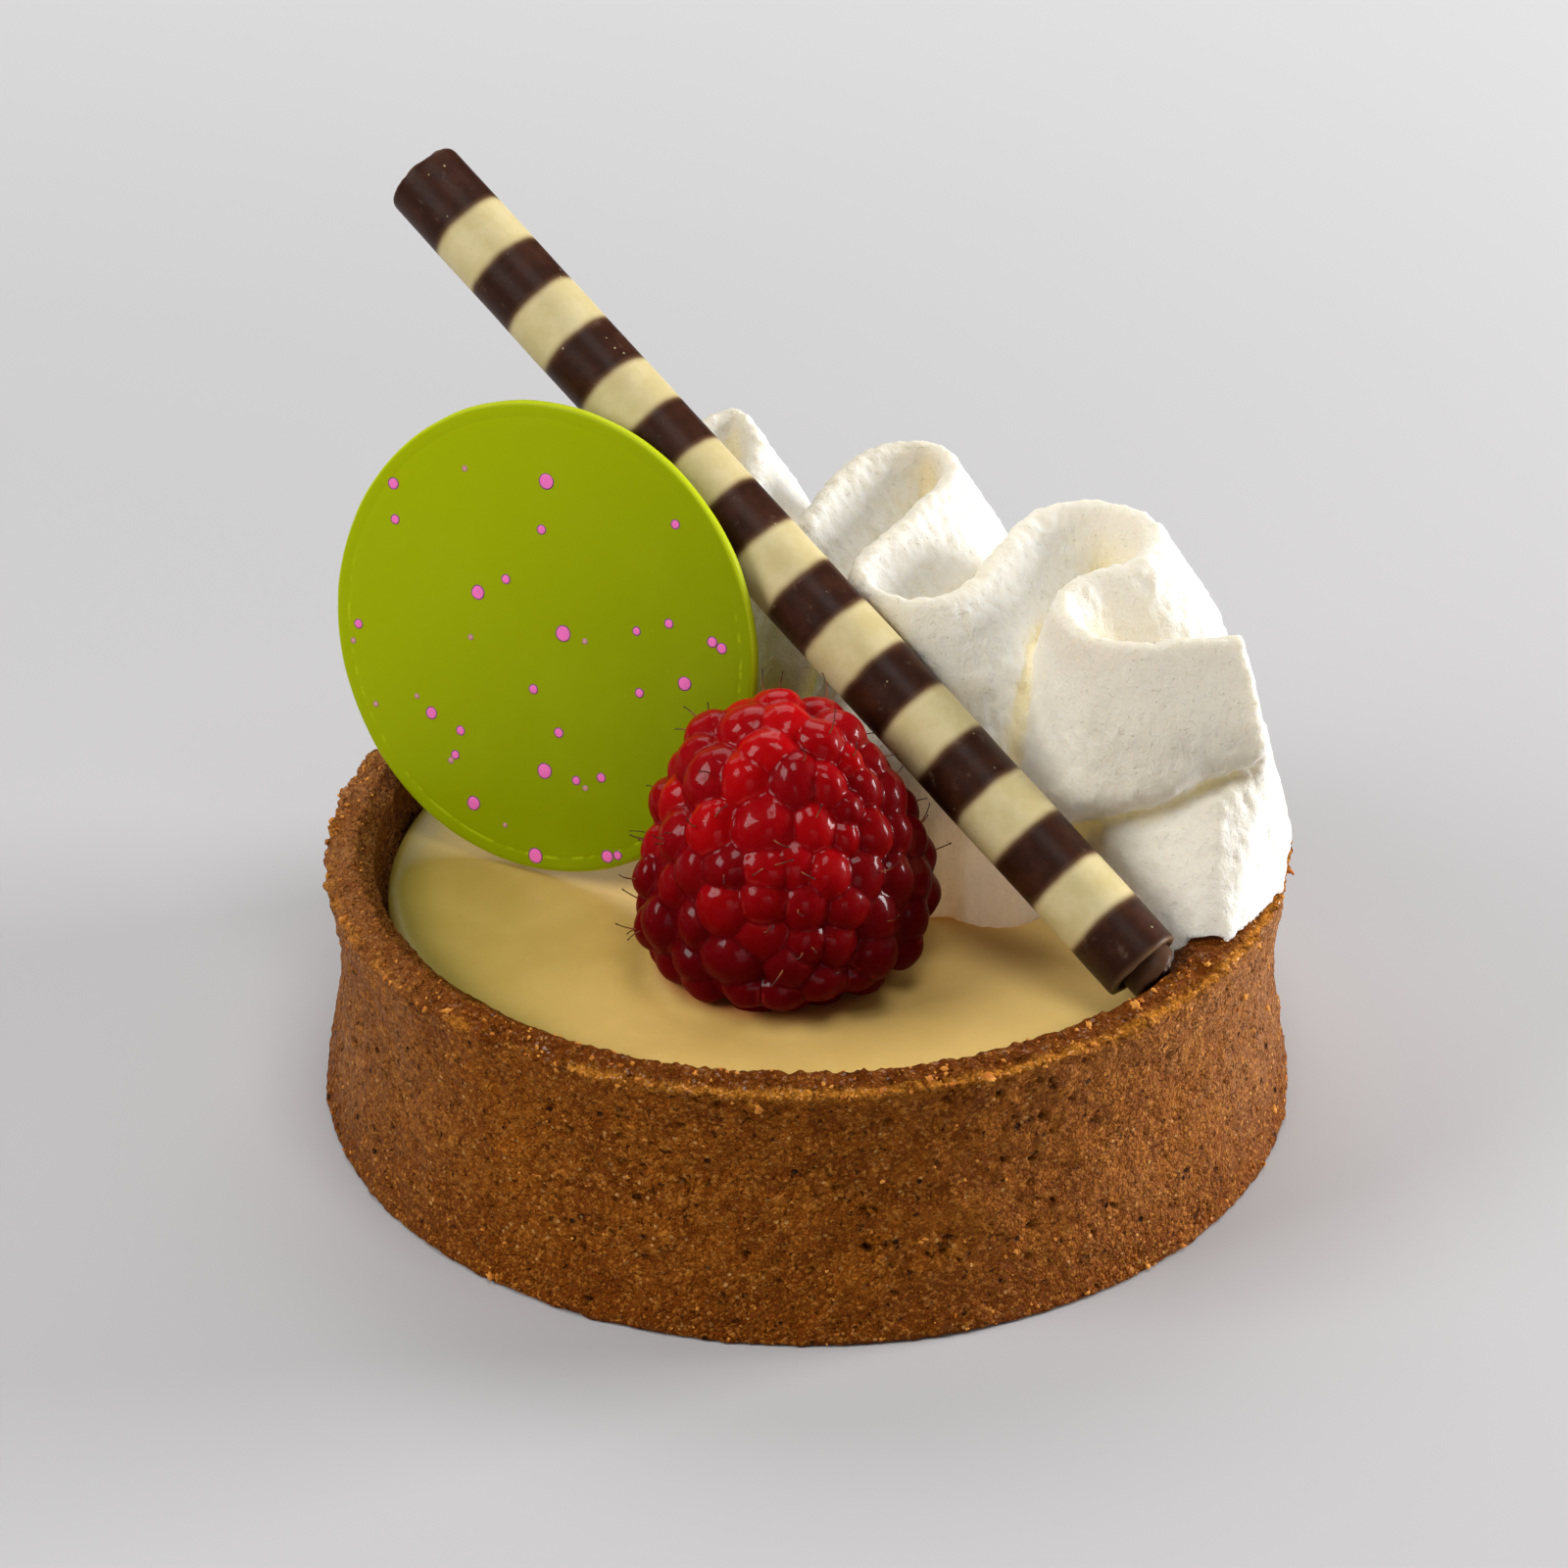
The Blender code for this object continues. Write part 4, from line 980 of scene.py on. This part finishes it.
cream = {
    # the ruffle's top edge, from the back left round to the right
    "edge": ((-9.0, 19.0, 42.5), (-9.4, 24.5, 43.4), (-6.1, 28.2, 44.0), (-4.2, 24.6, 43.6),
             (-4.2, 18.0, 42.8), (-2.8, 11.8, 42.4), (-0.4, 11.6, 42.5), (2.2, 17.2, 43.2),
             (5.4, 21.4, 43.9), (9.8, 22.1, 44.0), (11.2, 18.0, 43.7), (8.4, 12.3, 43.1),
             (4.3, 5.8, 42.4), (4.4, 1.8, 41.9), (8.0, -0.1, 41.6), (11.9, 1.4, 41.9),
             (14.8, 6.4, 42.6), (17.9, 11.2, 43.5), (22.6, 11.8, 44.0), (26.2, 8.4, 44.0),
             (25.4, 3.9, 43.3), (20.9, 2.2, 42.4), (18.9, -0.8, 41.9), (20.3, -5.2, 41.6),
             (24.3, -7.2, 41.5), (28.4, -6.95, 41.85), (32.2, -6.7, 42.05)),
    "steps": 9, "edgeWidth": 1.0, "spread": 0.27, "broad": 0.55, "broadDepth": 7.0,
    "hollow": 0.5, "hollowDepth": 5.5, "facing": (0.76, -0.65),
    "endSlope": 0.21, "endDepths": (1.0, 0.95, 0.58, 0.46, 0.385, 0.33), "tuck": 0.3,
    "reach": 32.6, "endReach": 36.4,
    "tailFoot": ((18.5, -4.0, 17.6), (19.6, -10.2, 17.6), (26.6, -16.4, 17.6), (27.7, -17.2, 22.0),
                 (28.6, -18.3, 21.9), (31.0, -18.3, 22.0), (33.2, -14.2, 22.0), (35.8, -10.6, 22.1),
                 (37.2, -2.2, 22.2), (36.2, 4.0, 22.2), (33.5, 7.5, 22.2), (30.0, 4.0, 22.4),
                 (29.6, 11.4, 17.6), (25.0, 12.0, 17.6)),
    "tailTop": ((22.4, -9.6, 26.5), (26.5, -10.9, 29.2), (30.4, -12.2, 30.9), (34.3, -8.8, 32.4),
                (34.7, -5.6, 31.0), (34.6, -2.5, 32.6), (29.0, -1.0, 31.0), (22.5, -4.0, 29.0)),
    # rounded lobes at the foot: middle and half sizes
    "lobes": (((14.4, -3.2, 19.0), (4.8, 5.2, 5.4)), ((9.9, -3.6, 24.2), (3.4, 3.8, 4.7))),
    "voxel": 0.31, "firstVoxel": 0.36, "folds": 0.16, "pores": 0.16, "ragged": 0.12,
    # the lighter tone is painted light on faces turned to the right, the yellower one painted light in the
    # creases, the pink one painted light from the berry
    "white": (0.785, 0.725, 0.600), "litTone": (0.855, 0.835, 0.780), "shade": (0.82, 0.72, 0.49),
    "crease": (0.86, 0.74, 0.40), "berryBounce": (0.97, 0.76, 0.55),
    # painted glow, for light that comes through the cream from behind: beside the berry, in the creases, the
    # folds and arches, and in the tail
    "glow": (0.080, 0.046, 0.016), "creaseGlow": (0.060, 0.048, 0.018), "tailGlow": (0.075, 0.075, 0.078),
    "paleGlow": (0.135, 0.098, 0.064), "foldGlow": (0.070, 0.072, 0.072),
}


def smoothRoute(points, steps):  # Catmull-Rom through the points
    route = [np.array(p, float) for p in points]
    ends = [route[0] * 2 - route[1]] + route + [route[-1] * 2 - route[-2]]
    curve = []
    for i in range(1, len(ends) - 2):
        a, b, c, d = ends[i - 1:i + 3]
        for k in range(steps):
            t = k / steps
            curve.append(0.5 * (2 * b + (c - a) * t + (2 * a - 5 * b + 4 * c - d) * t ** 2
                                + (3 * b - a - 3 * c + d) * t ** 3))
    return curve + [route[-1]]


def ruffle(shape):
    edge = smoothRoute(cream["edge"], cream["steps"])
    last, depths = len(edge) - 1, cream["endDepths"]
    shares = np.concatenate([[0, 0.012, 0.03], np.linspace(0.06, 1, 18)])
    facing = np.array([*cream["facing"], 0.0])
    rings = []
    for i, top in enumerate(edge):
        toEnd = (last - i) / cream["steps"]
        whole = np.interp(len(depths) - 1 - toEnd, range(len(depths)), depths)
        deep = min(28.0 * whole, top[2] - custard["top"] - 0.1)
        reach = cream["reach"] + (cream["endReach"] - cream["reach"]) * min(max(3.5 - toEnd, 0.0), 1.0)
        near = 1 if toEnd > 2.5 else 3
        ahead = (edge[min(i + near, last)] - edge[max(i - near, 0)]) * (1, 1, 0)
        ahead /= np.linalg.norm(ahead)
        side = np.array([ahead[1], -ahead[0], 0.0])
        toFront = max(0.0, side @ -facing)  # this run comes back to the front: its left is its broad face
        toBack = max(0.0, side @ facing)  # this run goes to the back: its right is the hollow of the arch
        right, left = [], []
        for share in shares:
            depth = share * deep
            half = cream["edgeWidth"] / 2 * (0.4 if share == 0 else 1.0) + cream["spread"] * depth
            half *= 1 - cream["tuck"] * max(0.0, (share - 0.7) / 0.3) ** 2
            if whole < 0.9:
                half *= math.sqrt(1 - 0.88 * max(0.0, (share - 0.78) / 0.22) ** 2)  # curls under over the tail
            broad = cream["broad"] * toFront * min(depth, cream["broadDepth"])
            hollow = cream["hollow"] * toBack * min(depth, cream["hollowDepth"])
            out = ahead * cream["endSlope"] * depth * max(0.0, 1 - toEnd / 1.6) ** 2
            for offset, found in ((side * (half + hollow), right), (-side * (half + broad), left)):
                point = (top + offset + out) * (1, 1, 0)
                far = np.hypot(point[0], point[1])
                point *= min(1.0, reach / far)
                found.append(shape.verts.new(Vector((point[0], point[1], top[2] - depth)) * mm))
        rings.append(right + left[::-1])
    for first, second in zip(rings, rings[1:]):
        for i in range(len(first)):
            j = (i + 1) % len(first)
            shape.faces.new((first[i], first[j], second[j], second[i]))
    shape.faces.new(rings[0][::-1])
    shape.faces.new(rings[-1])


def keptClear(points):  # the cream is pressed by what lies on it and stays out of what carries it
    gap = 0.3
    way = np.array(Vector(pencil["direction"]).normalized())
    off = points - np.array(pencil["lowEnd"])
    along = off @ way
    away = off - along[:, None] * way
    far = np.maximum(np.linalg.norm(away, axis=1), 1e-6)
    room = pencil["radius"] + gap
    push = np.where((along > -3) & (along < pencil["length"] + 3) & (far < room), room / far - 1, 0.0)
    points = points + away * push[:, None]
    ahead, flat, facing = fromDisc(points)
    behind = -disc["thickness"] - gap
    push = np.where((flat < disc["radius"] + gap) & (ahead > behind), behind - ahead, 0.0)
    points += push[:, None] * facing
    share = np.clip((points[:, 2] - berry["foot"][2]) / berry["height"], 0.02, 0.98)
    wide = np.array([berryRadius(s) for s in share]) + 1.0
    middle = berryMiddle(share)
    x, y = points[:, 0] - middle[0], (points[:, 1] - middle[1]) / berry["depth"]
    far = np.maximum(np.hypot(x, y), 1e-6)
    grow = np.where((far < wide) & (points[:, 2] < berry["foot"][2] + berry["height"]), wide / far - 1, 0.0)
    points[:, 0] += x * grow
    points[:, 1] += y * grow * berry["depth"]
    radius = np.hypot(points[:, 0], points[:, 1])
    rimTop = shell["height"] + shell["rimRise"] * eased(shell["rimRadius"] - radius, 0.0, shell["rimThickness"])
    rimTop += shell["tilt"] * points[:, 0] / shell["rimRadius"] + 0.25
    points[:, 2] = np.maximum(points[:, 2], np.where(radius > 33.05, rimTop, custard["top"] - 0.15))
    return points


def makeCream():
    shape = bmesh.new()
    corners = [shape.verts.new(Vector(p) * mm) for p in cream["tailFoot"] + cream["tailTop"]]
    bmesh.ops.convex_hull(shape, input=corners)
    for middle, half in cream["lobes"]:
        made = bmesh.ops.create_icosphere(shape, subdivisions=4, radius=1.0)
        for vertex in made["verts"]:
            vertex.co = Vector([middle[k] + vertex.co[k] * half[k] for k in range(3)]) * mm
    ruffle(shape)
    bmesh.ops.recalc_face_normals(shape, faces=shape.faces)
    piece = remeshed(fromShape("creamRuffle", shape), cream["firstVoxel"] * mm, 1)
    setPoints(piece, keptClear(pointsOf(piece) / mm) * mm)
    remeshed(piece, cream["voxel"] * mm, 1)
    points, out = pointsOf(piece) / mm, normalsOf(piece)
    # the broad faces are drawn out in fine upright ridges, the hollows of the arches are smooth
    hollow = eased(-out[:, 1] - out[:, 0] * 0.9, 0.35, 0.9) * eased(points[:, 2], 34.0, 38.0)
    coarse = 1 - 0.75 * hollow
    drawn = lumps(points * (1, 1, 0.38), 0.9, 3, 5.0) + lumps(points * (1, 1, 0.6), 2.6, 2, 3.0) * 0.5
    pores = np.clip(lumps(points, 0.8, 2, 14.0) - 0.22, 0, 1) * cream["pores"]
    edges = eased(points[:, 2], 40.6, 41.8) + (1 - eased(points[:, 2], 22.0, 24.5))
    ragged = lumps(points, 0.7, 2, 25.0) * cream["ragged"] * np.clip(edges, 0, 1)
    sag = lumps(points, 6.0, 1, 8.0) * 0.12
    moved = (drawn * cream["folds"] - pores + ragged) * coarse + sag
    setPoints(piece, keptClear(points + out * moved[:, None]) * mm)
    # how deep each point lies in a crease, for the yellower painted light there
    setAttribute(piece, "crease", eased(hollows(piece, 122), 0.12, 0.80))
    return piece


def creamMaterial():
    start = newMaterial("whippedCream", {
        "Subsurface Weight": 0.35, "Subsurface Radius": (1.0, 0.8, 0.5), "Subsurface Scale": 0.0016,
        "Specular IOR Level": 0.2, "Emission Strength": 1.0})
    place = start.place()
    x, y, z = place.part("X"), place.part("Y"), place.part("Z")
    cloud = place.noise(5.0, 3.0).between(0.4, 0.7)
    crease = start.attribute("crease")
    pores = place.noise(0.42, 2.0, 0.6).between(0.62, 0.74)
    nearBerry = z.between(33.0, 24.0) * x.between(20.0, 15.0) * y.between(4.0, -1.0)
    tail = z.between(31.0, 28.0) * x.between(22.0, 26.0) * y.between(2.0, -3.0)
    fold = x.between(12.0, 16.0) * x.between(21.5, 19.5) * z.between(41.0, 37.0)
    arch = z.between(36.0, 40.0) * x.between(14.0, 17.0) * y.between(0.0, 3.5)
    base = start.painted(
        # brighter where the faces turn to the right: painted light
        cream, "white", (start.facing("X").between(0.1, 0.8), "litTone"), (cloud * 0.10, "shade"),
        # yellower in the creases and pink near the berry: painted light; a little darker in the pores: painted
        # shade
        (crease * 0.65, "crease"), (nearBerry * 0.85, "berryBounce"), (pores * 0.14, "shade"))
    throughLobes = start.colours(x.between(11.2, 12.6), cream["glow"], cream["paleGlow"])
    # a painted glow beside the berry, in the tail, the folds, the arches and the creases
    glow = start.painted(
        cream, start.colours(nearBerry, (0.0, 0.0, 0.0), throughLobes), (tail, "tailGlow"),
        (fold * (1 - nearBerry), "foldGlow"), (arch, "foldGlow"), (crease * z.between(41.0, 38.0), "creaseGlow"))
    wrinkles = place.stretched((1.0, 1.0, 0.3)).noise(0.62, 3.0, 0.6)
    height = wrinkles * 1.2 + place.noise(0.35, 3.0, 0.65) * 0.7 - pores * 0.5
    return start.finished(colour=base, roughness=0.55 + cloud * 0.12, glow=glow,
                          normal=height.relief(0.00016, 0.9))


dress(makeCream(), creamMaterial(), "whipped_cream", "whipped_cream")


studio = {
    # far: painted light, the floor lighter towards the back
    "floor": (0.508, 0.500, 0.505), "far": (0.81, 0.802, 0.81), "mottle": (0.40, 0.39, 0.395),
    "halfWidth": 3.0, "world": (0.80, 0.81, 0.83), "worldStrength": 0.03, "aim": (0, 0, 20),
    # softboxes: place in mm, width in mm, watts
    "lights": (((440, 90, 120), 180, 2.75), ((-400, -160, 330), 250, 1.65), ((60, -150, 560), 230, 1.08),
               ((60, -460, 100), 240, 0.28), ((0, 420, 520), 400, 1.55), ((-330, 380, 380), 300, 0.45)),
}


def makeStudio():
    size = studio["halfWidth"]
    floor = newPiece("studioFloor", [(-size, -size, 0), (size, -size, 0), (size, size, 0), (-size, size, 0)],
                     [(0, 1, 2, 3)])
    start = newMaterial("paleFloor", {"Specular IOR Level": 0.2})
    place = start.place()
    cloud = place.noise(60.0)
    # lighter towards the back: painted light
    base = start.painted(studio, "floor", (place.part("Y").between(60.0, 420.0), "far"),
                         (cloud * 0.06, "mottle"))
    floor.data.materials.append(start.finished(colour=base, roughness=0.8 + cloud * 0.05))
    floor.location.z = -0.00002  # just under the tart
    for place, width, watts in studio["lights"]:
        lamp = bpy.data.lights.new("softbox", "AREA")
        lamp.shape, lamp.size, lamp.energy = "SQUARE", width * mm, watts
        box = linked("softbox", lamp)
        box.location = Vector(place) * mm
        box.rotation_euler = (box.location - Vector(studio["aim"]) * mm).to_track_quat("Z", "Y").to_euler()
    world = bpy.data.worlds.new("studio")
    world.use_nodes = True
    background = world.node_tree.nodes["Background"]
    background.inputs["Color"].default_value = (*studio["world"], 1.0)
    background.inputs["Strength"].default_value = studio["worldStrength"]
    bpy.context.scene.world = world
    bpy.context.scene.view_settings.view_transform = "Standard"

    camera = linked("camera", bpy.data.cameras.new("camera"))
    camera.location = viewFrom * mm
    camera.rotation_euler = (-viewAhead).to_track_quat("Z", "Y").to_euler()
    camera.data.lens, camera.data.sensor_width = view["lens"], view["sensor"]
    camera.data.clip_start, camera.data.clip_end = 0.01, 20.0
    bpy.context.scene.camera = camera


makeStudio()
print("studio ready")
